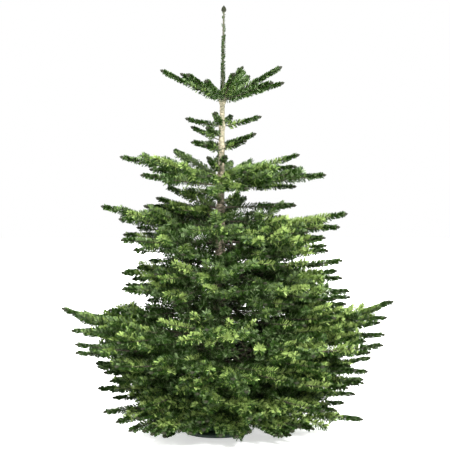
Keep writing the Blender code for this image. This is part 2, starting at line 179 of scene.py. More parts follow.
# %% The sizes of the tree
TREE_HEIGHT = 1.795
STAND_TOP = 0.125
TIP_OFFSET, TRUNK_BOW = 0.027, 0.004
TRUNK_FOOT = 0.0123
WOOD_AT_LEADER, WOOD_GAIN = 0.0100, 0.0128
LEADER_BASE, LEADER_RADIUS, LEADER_END_RADIUS = 1.392, 0.0064, 0.0032
ROOT_FLARE, FLARE_HEIGHT = 0.0045, 0.05
NODE_SWELL, NODE_HEIGHT = 0.0016, 0.014
BUD_LENGTH = 0.026


class Bough(NamedTuple):
    """azimuth and rise in degrees, reach and height above the tier in metres."""

    azimuth: float
    reach: float
    rise: float
    above: float = 0.0


class Tier(NamedTuple):
    """bare is how far a bough has no side shoots from the trunk's bark, and a limb is a stout bough."""

    name: str
    height: float
    years: int
    curl: float
    bare: float
    limb: bool
    boughs: tuple


TIERS = (
    Tier("tier_1", 1.392, 1, 0.04, 0.012, False, (
        Bough(8, 0.249, 30), Bough(68, 0.250, 32), Bough(130, 0.240, 29),
        Bough(181, 0.254, 26), Bough(250, 0.190, 17), Bough(326, 0.243, 13))),
    Tier("tier_2", 1.283, 1, 0.10, 0.012, False, (
        Bough(4, 0.160, 14), Bough(180, 0.147, 12), Bough(257, 0.130, 18))),
    Tier("between_2_3", 1.200, 1, 0.06, 0.012, False, (
        Bough(350, 0.140, 19), Bough(165, 0.128, 8))),
    Tier("tier_3", 1.065, 3, 0.03, 0.045, False, (
        Bough(12, 0.335, 17), Bough(68, 0.333, 14), Bough(128, 0.336, 22), Bough(181, 0.417, 12),
        Bough(345, 0.438, 5, -0.03), Bough(214, 0.38, 5, -0.03), Bough(288, 0.33, -4, -0.03))),
    Tier("between_3_4", 0.945, 2, 0.03, 0.03, False, (
        Bough(352, 0.31, 1), Bough(187, 0.31, 0))),
    Tier("tier_4", 0.850, 4, 0.07, 0.06, False, (
        Bough(3, 0.531, 7), Bough(100, 0.42, 15), Bough(177, 0.498, 11), Bough(268, 0.42, 2),
        Bough(325, 0.50, 2, -0.05), Bough(48, 0.43, 9, -0.05), Bough(207, 0.44, 1, -0.05))),
    Tier("tier_5", 0.685, 4, 0.09, 0.08, False, (
        Bough(15, 0.545, 3), Bough(166, 0.415, -2), Bough(258, 0.47, -2),
        Bough(334, 0.570, -1, -0.07), Bough(92, 0.47, 7, -0.07), Bough(202, 0.42, -1, -0.07))),
    Tier("tier_6", 0.425, 5, 0.26, 0.15, True, (
        Bough(3, 0.747, 9), Bough(90, 0.60, 9, 0.04), Bough(176, 0.674, 7.5), Bough(266, 0.60, 1, 0.05))),
    Tier("tier_6_low", 0.355, 4, 0.14, 0.12, False, (
        Bough(338, 0.70, 3), Bough(46, 0.64, 5), Bough(136, 0.60, 4), Bough(208, 0.63, 4))),
    Tier("tier_7", 0.275, 4, 0.12, 0.10, False, (
        Bough(8, 0.655, 2), Bough(100, 0.52, 1), Bough(167, 0.53, -2), Bough(265, 0.49, -8))),
    Tier("tier_8", 0.185, 4, 0.13, 0.10, False, (
        Bough(351, 0.600, -11), Bough(56, 0.46, -6), Bough(128, 0.45, -6), Bough(193, 0.475, -10),
        Bough(235, 0.44, -16), Bough(302, 0.47, -15))),
)
print(f"{len(TIERS)} tiers, {sum(len(tier.boughs) for tier in TIERS)} boughs")

# %% How the trunk and a shoot run
LEFT, RIGHT, OVER = 0, 1, 2  # where a side shoot stands on its parent
ROLLS = (0, 180, 90)
LENGTH_SHARES = (1.0, 1.0, 0.5)
SIDE_SHARE, SIDE_LEAST, SIDE_MOST = 0.64, 0.86, 1.10
SPREAD_LEAST, SPREAD_MOST = 40, 58
ROLL_PLAY, FINE_ROLL_PLAY = 24, 48  # degrees out of the bough's plane, for its own shoots and for finer ones
LAST_PAIR_SHARE = 0.75  # the pair beside a bough's youngest year, against the pairs below it
FULL_YEARS = 5  # a bough as old as this has a last pair of full length
FORWARD_BEND, UPWARD_BEND = 0.30, 0.16
TIP_ROOM, LIMB_TIP_ROOM = 0.008, 0.018  # what the needles and the buds take at the end of a bough


class Shoot(NamedTuple):
    """A shoot's line is start + length * (t * heading + t * t / 2 * bend), with t from 0 to 1."""

    start: Vector
    heading: Vector
    bend: Vector
    length: float
    years: int
    key: str
    order: int = 0

    def at(self, t):
        return self.start + self.length * (t * self.heading + t * t / 2 * self.bend)

    def direction(self, t):
        return (self.heading + t * self.bend).normalized()


def trunk_centre(height):
    share = max(0.0, height - STAND_TOP) / (TREE_HEIGHT - STAND_TOP)
    return Vector((TIP_OFFSET * share, TRUNK_BOW * math.sin(math.tau * share), height))


def trunk_radius(height):
    if height > LEADER_BASE:
        share = (height - LEADER_BASE) / (TREE_HEIGHT - LEADER_BASE)
        return LEADER_RADIUS + (LEADER_END_RADIUS - LEADER_RADIUS) * share
    flare = ROOT_FLARE * max(0.0, 1 - (height - TRUNK_FOOT) / FLARE_HEIGHT) ** 2
    return WOOD_AT_LEADER + WOOD_GAIN * (LEADER_BASE - height) + flare


def trunk_shoot(height, azimuth, rise, curl, length, years, key):
    """A bough's own shoot. It leaves the trunk lower than its rise, and curls up to it."""
    heading = about_axis(1.0, math.radians(azimuth), math.tan(math.radians(rise)) - curl)
    return Shoot(trunk_centre(height), heading, UP * 2 * curl, length, years, key)


def main_shoot(tier, number):
    bough, key = tier.boughs[number], f"{tier.name}.{number}"
    height = tier.height + bough.above
    length = bough.reach - (LIMB_TIP_ROOM if tier.limb else TIP_ROOM)
    return trunk_shoot(height, bough.azimuth, bough.rise, tier.curl, length, tier.years, key)


def side_shoot(parent, node, place):
    key = f"{parent.key}.{node}.{place}"
    chance = random.Random(key)
    t = node / parent.years
    direction = parent.direction(t)
    across = direction.cross(UP).normalized()
    up = across.cross(direction)
    spread = math.radians(chance.uniform(SPREAD_LEAST, SPREAD_MOST))
    play = FINE_ROLL_PLAY if parent.order else ROLL_PLAY
    roll = math.radians(ROLLS[place] * (-1 if node % 2 else 1) + chance.uniform(-play, play))
    length = parent.length * (1 - t) * SIDE_SHARE * LENGTH_SHARES[place]
    length *= chance.uniform(SIDE_LEAST, SIDE_MOST)
    if parent.order == 0 and parent.years < FULL_YEARS and node == parent.years - 1:
        length *= LAST_PAIR_SHARE
    out = across * math.cos(roll) + up * math.sin(roll)
    heading = direction * math.cos(spread) + out * math.sin(spread)
    bend = direction * FORWARD_BEND + UP * UPWARD_BEND
    return Shoot(parent.at(t), heading, bend, length, parent.years - node, key, parent.order + 1)


print(f"the trunk is {2000 * trunk_radius(STAND_TOP):.0f} mm thick where it leaves the stand")

# %% [markdown]
# ## Keeping each mass in its own space
# The solid of a mass shows how far its sprays may reach. Every shoot is tried at full length and cut back
# until its line stays close to that solid: very close for the shoots that the solid itself has, and within
# a few needles' length for the finer ones, which the solid only stands for. What is too short is left out,
# and so are the shoots that a grower's shears would take, because they spoil the tree's outline.

# %% Fit a shoot to its solid
SHORTEST = (0.0, 0.055, 0.060, 0.065)  # by order
LEEWAY = (0.0, 0.014, 0.050, 0.060)
SHORTER, TRIES = 0.82, 4
TESTED = (0.55, 1.0)  # the places on a shoot that have to be near the solid
FLOOR_ROOM = 0.032
CLIPPED = (  # what the shears took, by the shoots' names
    "tier_3.0.1.0", "tier_3.5.2.0", "tier_4.0.1.0", "tier_4.0.2.2", "tier_4.2.2.0", "tier_4.2.2.2",
    "tier_4.4.3.1", "tier_5.0.2.0", "tier_5.0.2.1", "tier_5.0.3.1", "tier_5.3.1.1.2.0", "tier_6.2.4.1",
    "tier_8.3.3.0", "between.51.3.0", "between.51.1.0.1.1", "between.59.2.0", "between.84.2.5.1",
    "between.89.1.1.1.0", "between.89.2.5.0", "between.89.2.5.1", "between.90.1.1.1.0",
    "between.90.2.1", "between.91.2.5.0", "given.0.86.350.2.0", "given.0.86.350.2.2",
    "given.0.885.184.1.0.1.1", "given.0.885.184.2.2", "given.0.65.350.1.1", "tier_4.0.1.5.0",
    "tier_3.6.1.2", "tier_4.0.3.0", "tier_5.0.3.0", "given.0.665.4.2.1", "given.0.665.4.2.2",
    "between.115.1.2", "between.121.1.0", "between.85.1.0.1.1", "between_3_4.0.1.0", "tier_3.4.1.2",
    "tier_3.5.1.2", "tier_4.0.1.1.1.0", "tier_4.2.1.0", "tier_5.0.1.1.1.0", "given.0.65.350.2.2",
    "given.0.86.350.1.5.1", "given.0.885.184.1.5.1",
)


def has_room(shoot, solid, leeway):
    points = [shoot.at(t) for t in TESTED]
    over_floor = all(point.z > FLOOR_ROOM for point in points)
    return over_floor and all(solid.find_nearest(point, leeway)[0] for point in points)


def fitted(shoot, solid, leeway):
    if shoot.key in CLIPPED:
        return None
    for _ in range(TRIES):
        if shoot.length < SHORTEST[shoot.order]:
            return None
        if has_room(shoot, solid, leeway[shoot.order]):
            return shoot
        shoot = shoot._replace(length=shoot.length * SHORTER)
    return None


def solid_tree(nodes):
    points, faces = [], []
    for node in nodes:
        mesh, first = frame["nodes"][node].data, len(points)
        points += [v.co.copy() for v in mesh.vertices]
        faces += [tuple(first + k for k in p.vertices) for p in mesh.polygons]
    return BVHTree.FromPolygons(points, faces)


print(f"{len(CLIPPED)} shoots are clipped")

# %% Grow every mass
FINEST_ORDER = 3
BETWEEN_SHARE = 0.55  # the length of a twig that stands between two nodes, beside one at a node


def twigs_of(parent, from_t):
    """The side shoots at every node, and finer twigs halfway between the nodes."""
    for node in range(1, parent.years):
        if node / parent.years >= from_t:
            for place in (LEFT, RIGHT) if node == parent.years - 1 else (LEFT, RIGHT, OVER):
                yield side_shoot(parent, node, place)
        if (node + 0.5) / parent.years >= from_t and node < parent.years - 1:
            for place in (LEFT, RIGHT):
                twig = side_shoot(parent, node + 0.5, place)
                yield twig._replace(length=twig.length * BETWEEN_SHARE, years=max(1, parent.years - node - 1))


def shoots_from(parent, solid, from_t=0.0, leeway=LEEWAY):
    yield parent
    if parent.order < FINEST_ORDER:
        for twig in twigs_of(parent, from_t):
            twig = fitted(twig, solid, leeway)
            if twig:
                yield from shoots_from(twig, solid, leeway=leeway)


class Mass(NamedTuple):
    height: float
    bare_t: float
    shoots: list


def report_growth():
    shoots = [shoot for mass in masses.values() for shoot in mass.shoots]
    print(f"{len(shoots)} shoots, {sum(shoot.length for shoot in shoots):.1f} m in all")


masses = {}
for tier in TIERS:
    for number, bough in enumerate(tier.boughs):
        name = f"foliage_{tier.name}_{'abcdefgh'[number]}"
        height = tier.height + bough.above
        bare_t = (tier.bare + trunk_radius(height)) / bough.reach
        grown = shoots_from(main_shoot(tier, number), solid_tree([name]), bare_t)
        masses[name] = Mass(height, bare_t, list(grown))
report_growth()

# %% [markdown]
# ## Boughs between the tiers
# Below its youngest years, a fir also has weaker boughs all the way up its trunk. They fill the room between
# the tiers and are too many and too small to be solids of their own. Most turn on from the last by the
# golden angle, reach for a share of what the tiers above and below them reach there, and hang lower at the
# front and the back. The others are listed one by one, because the crown's shape shows them: small shoots
# between the youngest tiers, rising ones above the fourth tier, boughs that end at the crown's edge, and two
# that curl up beside the widest limbs. All keep close to the solids.


# %% Where the boughs between stand
class Zone(NamedTuple):
    low: float
    high: float
    boughs: int
    least: float  # the shares of the tiers' reach
    most: float
    droop: float  # degrees below what the tiers do, at the front and the back; less at the sides


ZONES = (
    Zone(0.155, 0.200, 11, 0.66, 0.90, -1), Zone(0.200, 0.340, 25, 0.78, 1.00, 6),
    Zone(0.340, 0.460, 18, 0.72, 0.97, 14), Zone(0.460, 0.600, 20, 0.56, 0.80, 11),
    Zone(0.600, 0.700, 12, 0.64, 0.88, 11), Zone(0.700, 0.870, 22, 0.66, 0.90, 7),
    Zone(0.870, 0.945, 6, 0.38, 0.58, 3), Zone(1.030, 1.095, 7, 0.50, 0.80, 0),
)
SMALL_SHOOTS = (  # height, bearing and rise in degrees, reach: what grows between the youngest tiers
    (1.392, 50, 34, 0.17), (1.392, 30, 20, 0.20), (1.392, 205, 32, 0.15), (1.392, 290, 34, 0.13),
    (1.290, 70, 22, 0.11), (1.400, 40, 52, 0.105), (1.392, 175, 33, 0.165), (1.392, 352, 15, 0.245),
    (1.235, 240, 16, 0.11), (1.222, 172, 25, 0.118), (1.195, 60, 16, 0.11), (1.188, 320, 12, 0.12),
    (1.190, 120, 16, 0.10), (1.180, 235, 8, 0.11), (1.130, 95, 20, 0.09), (1.125, 280, 14, 0.09),
    (1.075, 240, 34, 0.10),
)
RISING_SHOOTS = (  # the same of two years' growth, above the fourth tier
    (0.930, 180, 24, 0.222), (0.900, 184, 17, 0.256), (0.875, 176, 13, 0.310), (1.075, 184, 5, 0.285),
    (0.960, 250, 20, 0.150), (0.950, 300, 18, 0.150), (0.935, 60, 14, 0.200), (0.930, 120, 20, 0.200),
    (1.040, 355, -2, 0.300), (0.995, 190, 8, 0.140), (0.900, 350, 8, 0.140), (1.080, 356, 6, 0.300),
)
EDGE_BOUGHS = (  # those that end at the crown's edge between the tiers' boughs, or hang before the stand
    (0.165, 256, -12, 0.42), (0.162, 272, -13, 0.41), (0.168, 287, -12, 0.42), (0.170, 264, -9, 0.36),
    (0.172, 296, -9, 0.37), (0.165, 75, -12, 0.42), (0.165, 105, -12, 0.42), (0.275, 352, -1, 0.610),
    (0.250, 25, -1, 0.630), (0.205, 355, -4, 0.560), (0.185, 14, -5, 0.530), (0.860, 350, 0, 0.485),
    (0.780, 8, 0, 0.445), (0.650, 350, 0, 0.500), (0.565, 2, 0, 0.540), (0.445, 358, 3, 0.690),
    (0.385, 352, 7, 0.660), (0.330, 2, 0, 0.630), (0.420, 186, 1, 0.600), (0.885, 184, 1, 0.410),
    (0.200, 180, -2, 0.490), (0.335, 172, 0, 0.545), (0.530, 300, 1, 0.460), (0.600, 280, 2, 0.420),
    (0.165, 202, -12, 0.430), (0.160, 216, -14, 0.420), (0.250, 335, -3, 0.560), (0.500, 330, 0, 0.520),
    (0.170, 228, -14, 0.420), (0.170, 242, -13, 0.430), (0.175, 310, -13, 0.450), (0.170, 322, -12, 0.470),
    (0.155, 248, -12, 0.380), (0.165, 280, -13, 0.430), (0.165, 301, -13, 0.440), (0.520, 178, 6, 0.290),
    (0.500, 200, 6, 0.300), (0.540, 160, 5, 0.300), (0.640, 181, 4, 0.398), (0.590, 179, 4, 0.381),
    (0.845, 182, 2, 0.335), (0.800, 180, 4, 0.392), (0.745, 184, 3, 0.350), (0.150, 262, -11, 0.360),
    (0.150, 272, -10, 0.340), (0.155, 255, -9, 0.330), (0.690, 181, 0, 0.335), (0.160, 5, -5, 0.525),
    (0.400, 356, 1, 0.680), (0.665, 4, 1, 0.485), (0.170, 183, -3, 0.425), (0.250, 181, 0, 0.465),
    (0.525, 3, 1, 0.525), (0.760, 357, 0, 0.440), (0.635, 178, 1, 0.355), (0.215, 0, -1, 0.600),
    (0.165, 237, -18, 0.370), (0.165, 313, -16, 0.410),
)
CURLED_BOUGHS = (  # those that rise beside the widest limbs
    (0.300, 177, 18, 0.645), (0.300, 3, 18.7, 0.715),
)
PLACED_BY_HAND = (  # years, the least and the most curl, and the rows
    (1, 0.05, 0.05, SMALL_SHOOTS), (2, 0.05, 0.05, RISING_SHOOTS), (4, 0.0, 0.14, EDGE_BOUGHS),
    (5, 0.13, 0.16, CURLED_BOUGHS),
)
print(f"{sum(zone.boughs for zone in ZONES) + sum(len(rows) for *_, rows in PLACED_BY_HAND)} boughs between")

# %% How far the crown reaches
YOUNG_FROM = 1.2  # tiers higher than this are too young to fill the crown
DRAWN_IN = 1.6  # over 1, because the crown draws in just above a wide tier
full_tiers = [tier for tier in TIERS if not tier.name.startswith("between") and tier.height < YOUNG_FROM]


def off_bearing(bough, azimuth):
    return abs((bough.azimuth - azimuth + 180) % 360 - 180)


def tier_at(tier, azimuth):
    """How far a tier reaches at a bearing and how it rises there, from its two neighbouring boughs."""
    near = sorted(tier.boughs, key=lambda bough: off_bearing(bough, azimuth))[:2]
    first, second = (off_bearing(bough, azimuth) + 1 for bough in near)
    weight = second / (first + second)
    one, other = (Vector((bough.reach, bough.rise)) for bough in near)
    return one * weight + other * (1 - weight)


def crown_at(height, azimuth):
    """The reach and rise of the crown at a height, from the tiers above and below."""
    upper = min((t for t in full_tiers if t.height >= height), key=lambda t: t.height, default=full_tiers[0])
    lower = max((t for t in full_tiers if t.height <= height), key=lambda t: t.height, default=full_tiers[-1])
    share = 0.5 if upper is lower else (height - lower.height) / (upper.height - lower.height)
    share = min(1.0, max(0.0, share))
    weight = (1 - share) ** DRAWN_IN
    return tier_at(lower, azimuth) * weight + tier_at(upper, azimuth) * (1 - weight)


print(f"{len(full_tiers)} full tiers, {crown_at(TREE_HEIGHT / 4, 0)[0]:.2f} m out on the right at a quarter")

# %% Grow the boughs between
GOLDEN_ANGLE = 137.508
LEEWAY_BETWEEN = (0.0, 0.075, 0.075, 0.075)
SIDE_DROOP = 0.25  # the share of a zone's droop that the boughs at the sides have
BEARING_PLAY, RISE_PLAY = 12, 4  # degrees
BETWEEN_CURL = 0.11
SHORT_REACH, SHORT_YEARS, LONG_YEARS = 0.3, 3, 4
BARE_LENGTH, BARE_REACH = 0.05, 0.4  # a bough of this reach is bare for this length


def between_bough(zone, number, turned):
    chance = random.Random(f"between {turned}")
    height = zone.low + (zone.high - zone.low) * (number + chance.random()) / zone.boughs
    azimuth = (GOLDEN_ANGLE * turned + chance.uniform(-BEARING_PLAY, BEARING_PLAY)) % 360
    reach, rise = crown_at(height, azimuth)
    reach *= chance.uniform(zone.least, zone.most)
    frontness = abs(math.sin(math.radians(azimuth)))
    rise += chance.uniform(-RISE_PLAY, RISE_PLAY) - zone.droop * (SIDE_DROOP + (1 - SIDE_DROOP) * frontness)
    years = SHORT_YEARS if reach < SHORT_REACH else LONG_YEARS
    return trunk_shoot(height, azimuth, rise, BETWEEN_CURL, reach, years, f"between.{turned}")


def grow_between(main):
    bare_t = (BARE_LENGTH * main.length / BARE_REACH + trunk_radius(main.start.z)) / main.length
    grown = shoots_from(main, all_solids, bare_t, LEEWAY_BETWEEN)
    masses[main.key] = Mass(main.start.z, bare_t, list(grown))


all_solids, turned = solid_tree(list(masses)), 0
for zone in ZONES:
    for number in range(zone.boughs):
        turned += 1
        grow_between(between_bough(zone, number, turned))
for years, least_curl, most_curl, rows in PLACED_BY_HAND:
    for height, azimuth, rise, reach in rows:
        key = f"given.{height}.{azimuth}"
        curl = random.Random("curl " + key).uniform(least_curl, most_curl)
        grow_between(trunk_shoot(height, azimuth, rise, curl, reach, years, key))
report_growth()

# %% [markdown]
# ## Lines for twigs and needles
# Everything on a shoot follows its line, so the lines are made first, as meshes of edges. Each point
# carries what the node trees need: the twig's radius there, how densely the needles stand, how long, wide
# and open they are, and the number of their green. Needles are dense on the youngest wood, thinner on the
# old, and few where little light comes. A whole bough is a little fresher or duller than the next one, and
# within that each spray draws its own green. That draw also holds painted light and shade: more fresh
# sprays towards the lit side and on the low sides, fewer in the low middle, and deep ones inside the crown.

# %% Give each spray its green
DEEP, GREYISH, MIDDLE, FRESH = range(4)  # the sprays' greens, from dark to light
CROWN_CLOSED, CROWN_OPEN = 0.84, 1.04  # between these heights, upwards, light begins to get everywhere
FRESH_SHARE, MIDDLE_SHARE, DEEP_SHARE = 0.27, 0.43, 0.15  # of the sprays in the light; the rest are greyish
BOUGH_PLAY = 0.16  # how many more or fewer fresh sprays a whole bough may have
# Painted light and shade in the sprays' greens: more fresh ones towards the lit side and on the low sides,
# fewer in the low middle, and deep ones inside the crown.
LIT_SIDE_GAIN = 0.22  # by the metre to the side that the light comes from
PALER_OVER, PALER = 0.42, 0.45  # over this height, by the metre
LOW_SHADE_BELOW, LOW_LIT_GAIN, LOW_SHADE_HALF_WIDTH = 0.32, 0.55, 0.24  # under this height, by the metre out from there
INSIDE, INSIDE_DEEP, INSIDE_PALER = 0.5, 0.7, 2  # how far out the shade ends, and the deep sprays in it
UPPER_FROM, UPPER_GREENS = 0.9, ((0.46, GREYISH), (0.76, MIDDLE), (0.90, DEEP), (1, FRESH))
TOP_FROM, TOP_GREENS = 1.15, ((0.3, DEEP), (0.88, GREYISH), (1, MIDDLE))


def depth_share(point):
    """0 at the trunk, 1 where the tiers' boughs end."""
    reach, _ = crown_at(point.z, math.degrees(math.atan2(point.y, point.x)))
    return math.hypot(*point.xy) / reach


def spray_green(shoot, fresher):
    """Which green a spray has: greyish high up, and deep far inside, which is painted shade; painted light
    gives more fresh sprays towards the lit side and the low sides, and fewer in the low middle.
    """
    draw, end = random.Random("green " + shoot.key).random(), shoot.at(1.0)
    paler = PALER * max(0.0, end.z - PALER_OVER)
    # painted light: more fresh sprays towards the key light's side; under the low tiers, painted shade in the
    # middle and painted light at the sides
    fresh = FRESH_SHARE + fresher + LIT_SIDE_GAIN * end.x
    if end.z < LOW_SHADE_BELOW:
        fresh += LOW_LIT_GAIN * (abs(end.x) - LOW_SHADE_HALF_WIDTH)
    greens = (
        (fresh, FRESH), (fresh + MIDDLE_SHARE - paler, MIDDLE), (1 - DEEP_SHARE + paler, GREYISH), (1, DEEP),
    )
    # painted shade: inside the closed crown most sprays are deep green
    if depth_share(end) < INSIDE and end.z < CROWN_OPEN:
        greens = ((INSIDE_DEEP - INSIDE_PALER * paler, DEEP), (1, MIDDLE))
    elif end.z > UPPER_FROM:
        greens = TOP_GREENS if end.z > TOP_FROM else UPPER_GREENS
    return next(green for limit, green in greens if draw < limit)


print(f"{1 - FRESH_SHARE - MIDDLE_SHARE - DEEP_SHARE:.2f} of the sprays low down are greyish")


# %% Lines with values on their points
class Lines:
    """A mesh of edges that grows line by line, with named values on its points."""

    def __init__(self, name):
        self.name, self.points, self.edges, self.values = name, [], [], {}

    def add_line(self, points, **values):
        first = len(self.points)
        self.points += points
        self.edges += [(first + k, first + k + 1) for k in range(len(points) - 1)]
        for key, numbers in values.items():
            self.values.setdefault(key, []).extend(numbers)

    def as_object(self):
        mesh = bpy.data.meshes.new(self.name)
        mesh.from_pydata(self.points, self.edges, [])
        for key, numbers in self.values.items():
            kind = "INT" if isinstance(numbers[0], int) else "FLOAT"
            mesh.attributes.new(key, kind, "POINT").data.foreach_set("value", numbers)
        return placed(self.name, mesh)


# %% Where needles stand, and how
LINE_STEPS = 4  # straight pieces in a year's length
AT_LEADING_BUD, AT_SIDE_BUD = (0.92, 0.64, 1.6), (0.90, 0.88, 1.15)  # opening, length and width
NARROWING = 1.5  # over 1, so that the needles have these for the last part of the year's length
CLEAR_OF_BUD = 0.005  # the needles of a bough's own end stop this far from its bud
# Painted shade: a stretch of shoot with less light than this is deep green.
SHADED = 0.55  # needles with less light are deep green
LEAST_LIGHT, LIGHT_FROM, LIGHT_GAIN = 0.12, 0.32, 1.9
DENSE_NEW, DENSE_LOST, DENSE_LEAST = 0.70, 0.12, 0.34  # on new wood, lost by the year, and at the least
SHORTEST_NEEDLES, LONGEST_NEEDLES = 0.88, 1.1  # a spray's own, against the model
LEAST_STRETCH = 0.02  # a shorter piece of a shoot gets no line of its own
FRESH_YEARS = 2  # needles older than this are no longer fresh


def light_at(point):
    """A share of the needles that fir keeps at a place: all near the light, few in the dark inside."""
    from_above = min(1.0, max(0.0, (point.z - CROWN_CLOSED) / (CROWN_OPEN - CROWN_CLOSED)))
    from_outside = LEAST_LIGHT + LIGHT_GAIN * (depth_share(point) - LIGHT_FROM)
    return min(1.0, max(LEAST_LIGHT, from_outside) + from_above)


def needle_line(lines, shoot, start, end, age, length, green, leading=False):
    """Towards the bud of the youngest year the needles lie closer to the shoot, and are shorter and wider."""
    density = 1.0 if leading else max(DENSE_LEAST, DENSE_NEW - DENSE_LOST * age)
    at_bud = AT_SIDE_BUD if shoot.order else AT_LEADING_BUD
    points, shares = [], []
    for t in spaced(start, end, LINE_STEPS):
        year_share = max(0.0, t * shoot.years - shoot.years + 1)  # 0 until the youngest year, 1 at its bud
        near_bud = min(1.0, NARROWING * year_share) ** 2
        points.append(shoot.at(t))
        shares.append([1 - (1 - share) * near_bud for share in at_bud])
    lines.add_line(
        points, open=[share[0] for share in shares], long=[length * share[1] for share in shares],
        wide=[share[2] for share in shares], dense=[density * light_at(point) for point in points],
        green=[green] * len(points), stand=[0.0] * len(points),
    )


def needle_lines(lines, shoot, from_t, fresher):
    """One line for each year's length. The outer half of a bough's own youngest year is the darkest."""
    green = spray_green(shoot, fresher)
    length = random.Random("needles " + shoot.key).uniform(SHORTEST_NEEDLES, LONGEST_NEEDLES)
    for year in range(shoot.years):
        start, end = max(from_t, year / shoot.years), (year + 1) / shoot.years
        age = shoot.years - year - 1
        if end - start < LEAST_STRETCH:
            continue
        # painted shade: a stretch in the crown's shade is deep green; fresh needles older than two years turn
        # deep green too
        shaded = light_at(shoot.at((start + end) / 2)) < SHADED
        aged_and_shaded = DEEP if shaded or age > FRESH_YEARS and green == FRESH else green
        if shoot.order or age:
            needle_line(lines, shoot, start, end, age, length, aged_and_shaded)
        else:
            middle, end = (start + end) / 2, end - CLEAR_OF_BUD / shoot.length
            needle_line(lines, shoot, start, middle, age, length, aged_and_shaded)
            needle_line(lines, shoot, middle, end, age, length, DEEP, leading=True)


# %% Make the lines
TWIG_TIP, TWIG_PER_YEAR = 0.0011, 0.0008
# The third column is painted shade: under this noise level a needle is deep green, and the low groups get
# more of it, for the shade under the tiers.
GROUPS = (  # a piece of needles, the height that it grows from, and how wide its clumps' dark gaps are
    ("top", 0.88, 0.37), ("upper", 0.67, 0.34), ("middle", 0.50, 0.30), ("broad", 0.40, 0.38),
    ("broad_low", 0.31, 0.43), ("low", 0.23, 0.43), ("lowest", 0.0, 0.43),
)


def twig_line(lines, shoot):
    steps = spaced(0, 1, 2 if shoot.years == 1 else 3)
    thick = [TWIG_TIP + TWIG_PER_YEAR * shoot.years * (1 - t) for t in steps]
    lines.add_line([shoot.at(t) for t in steps], thick=thick)


def group_of(mass):
    return next(name for name, lowest, _ in GROUPS if mass.height > lowest)


needle_groups, twig_lines = {name: Lines("needles_" + name) for name, _, _ in GROUPS}, Lines("twigs")
for name, mass in masses.items():
    fresher = random.Random("green of " + name).uniform(-BOUGH_PLAY, BOUGH_PLAY)
    for shoot in mass.shoots:
        needle_lines(needle_groups[group_of(mass)], shoot, mass.bare_t if shoot.order == 0 else 0.0, fresher)
        if shoot.order:
            twig_line(twig_lines, shoot)
print(", ".join(f"{group}: {len(lines.edges)} pieces of line" for group, lines in needle_groups.items()))

# %% [markdown]
# ## One needle
# A fir's needle is a thin flat blade with nearly parallel sides, narrow at its foot and blunt at its tip.
# There are several hundred thousand of them, so a needle is one flat blade of two triangles, cut to that
# outline. A solid one would need twice the faces, and half as many needles would leave the sprays thin.

# %% Make the needle
NEEDLE_LENGTH, NEEDLE_WIDTH, FOOT_WIDTH = 0.0250, 0.0031, 0.0016
outline = [
    (0, -FOOT_WIDTH / 2, 0), (NEEDLE_LENGTH, -NEEDLE_WIDTH / 2, 0), (NEEDLE_LENGTH, NEEDLE_WIDTH / 2, 0),
    (0, FOOT_WIDTH / 2, 0),
]
needle_mesh = bpy.data.meshes.new("needle")
needle_mesh.from_pydata(outline, [], [(0, 1, 2), (0, 2, 3)])
needle_model = placed("needle_model", needle_mesh)
print(f"a needle has {len(needle_mesh.polygons)} triangles")

# %% Colour the needles
WAX_ROUGHNESS, WAX_SHINE = 0.45, 0.15
GREENS = {
    number: new_material(name, colour, WAX_ROUGHNESS, Specular_IOR_Level=WAX_SHINE)
    for number, name, colour in (
        (DEEP, "needle_deep", (0.017, 0.042, 0.005)), (GREYISH, "needle_greyish", (0.106, 0.158, 0.064)),
        (MIDDLE, "needle_green", (0.132, 0.205, 0.050)), (FRESH, "needle_fresh", (0.218, 0.300, 0.084)),
    )
}
print(", ".join(material.name for material in GREENS.values()))

# %% [markdown]
# ## Needles along the shoots
# The node tree walks along every line in steps of a fraction of a millimetre. At each step one needle
# stands out, turned about the shoot by a seeded random angle from one side over the top to the other, so
# that the needles part below as they do on a fir. Needles on top lean forward more than those at the sides.
# A needle's length axis first turns to its own direction, then its flat side turns more or less upwards.
# A noise parts the needles into clusters and paints light and shade on them: in the gaps between clusters
# a needle is deep green, which is painted shade, and at a cluster's heart it is one shade paler than its
# spray, which is a painted highlight. Every tree here ends by making its instances real, because the
# export drops instances, and by giving them their material.


# %% Helpers for node trees
def math_node(tree, operation, one, other=None, third=None):
    numbers = {k: value for k, value in enumerate((one, other, third)) if value is not None}
    return add(tree, "ShaderNodeMath", numbers, operation=operation)


def vector_node(tree, operation, one, other):
    return add(tree, "ShaderNodeVectorMath", {0: one, 1: other}, operation=operation)


def scaled(tree, vector, factor):
    return add(tree, "ShaderNodeVectorMath", {"Vector": vector, "Scale": factor}, operation="SCALE")


def noise_of(tree, scale, detail, place=None):
    inputs = {"Scale": scale, "Detail": detail}
    return add(tree, "ShaderNodeTexNoise", inputs if place is None else {"Vector": place, **inputs})


def named(tree, name, kind="FLOAT"):
    return add(tree, "GeometryNodeInputNamedAttribute", {"Name": name}, data_type=kind)


def random_value(tree, low, high, seed, kind="FLOAT"):
    return add(tree, "FunctionNodeRandomValue", {"Min": low, "Max": high, "Seed": seed}, data_type=kind)


def new_tree(name, sizes):
    """A tree that takes geometry and the named sizes, given as (name, kind, default)."""
    tree = bpy.data.node_groups.new(name, "GeometryNodeTree")
    tree.interface.new_socket("Geometry", in_out="INPUT", socket_type="NodeSocketGeometry")
    for label, kind, default in sizes:
        socket = tree.interface.new_socket(label, in_out="INPUT", socket_type="NodeSocket" + kind)
        if default is not None:
            socket.default_value = default
    tree.interface.new_socket("Geometry", in_out="OUTPUT", socket_type="NodeSocketGeometry")
    return tree, tree.nodes.new("NodeGroupInput").outputs


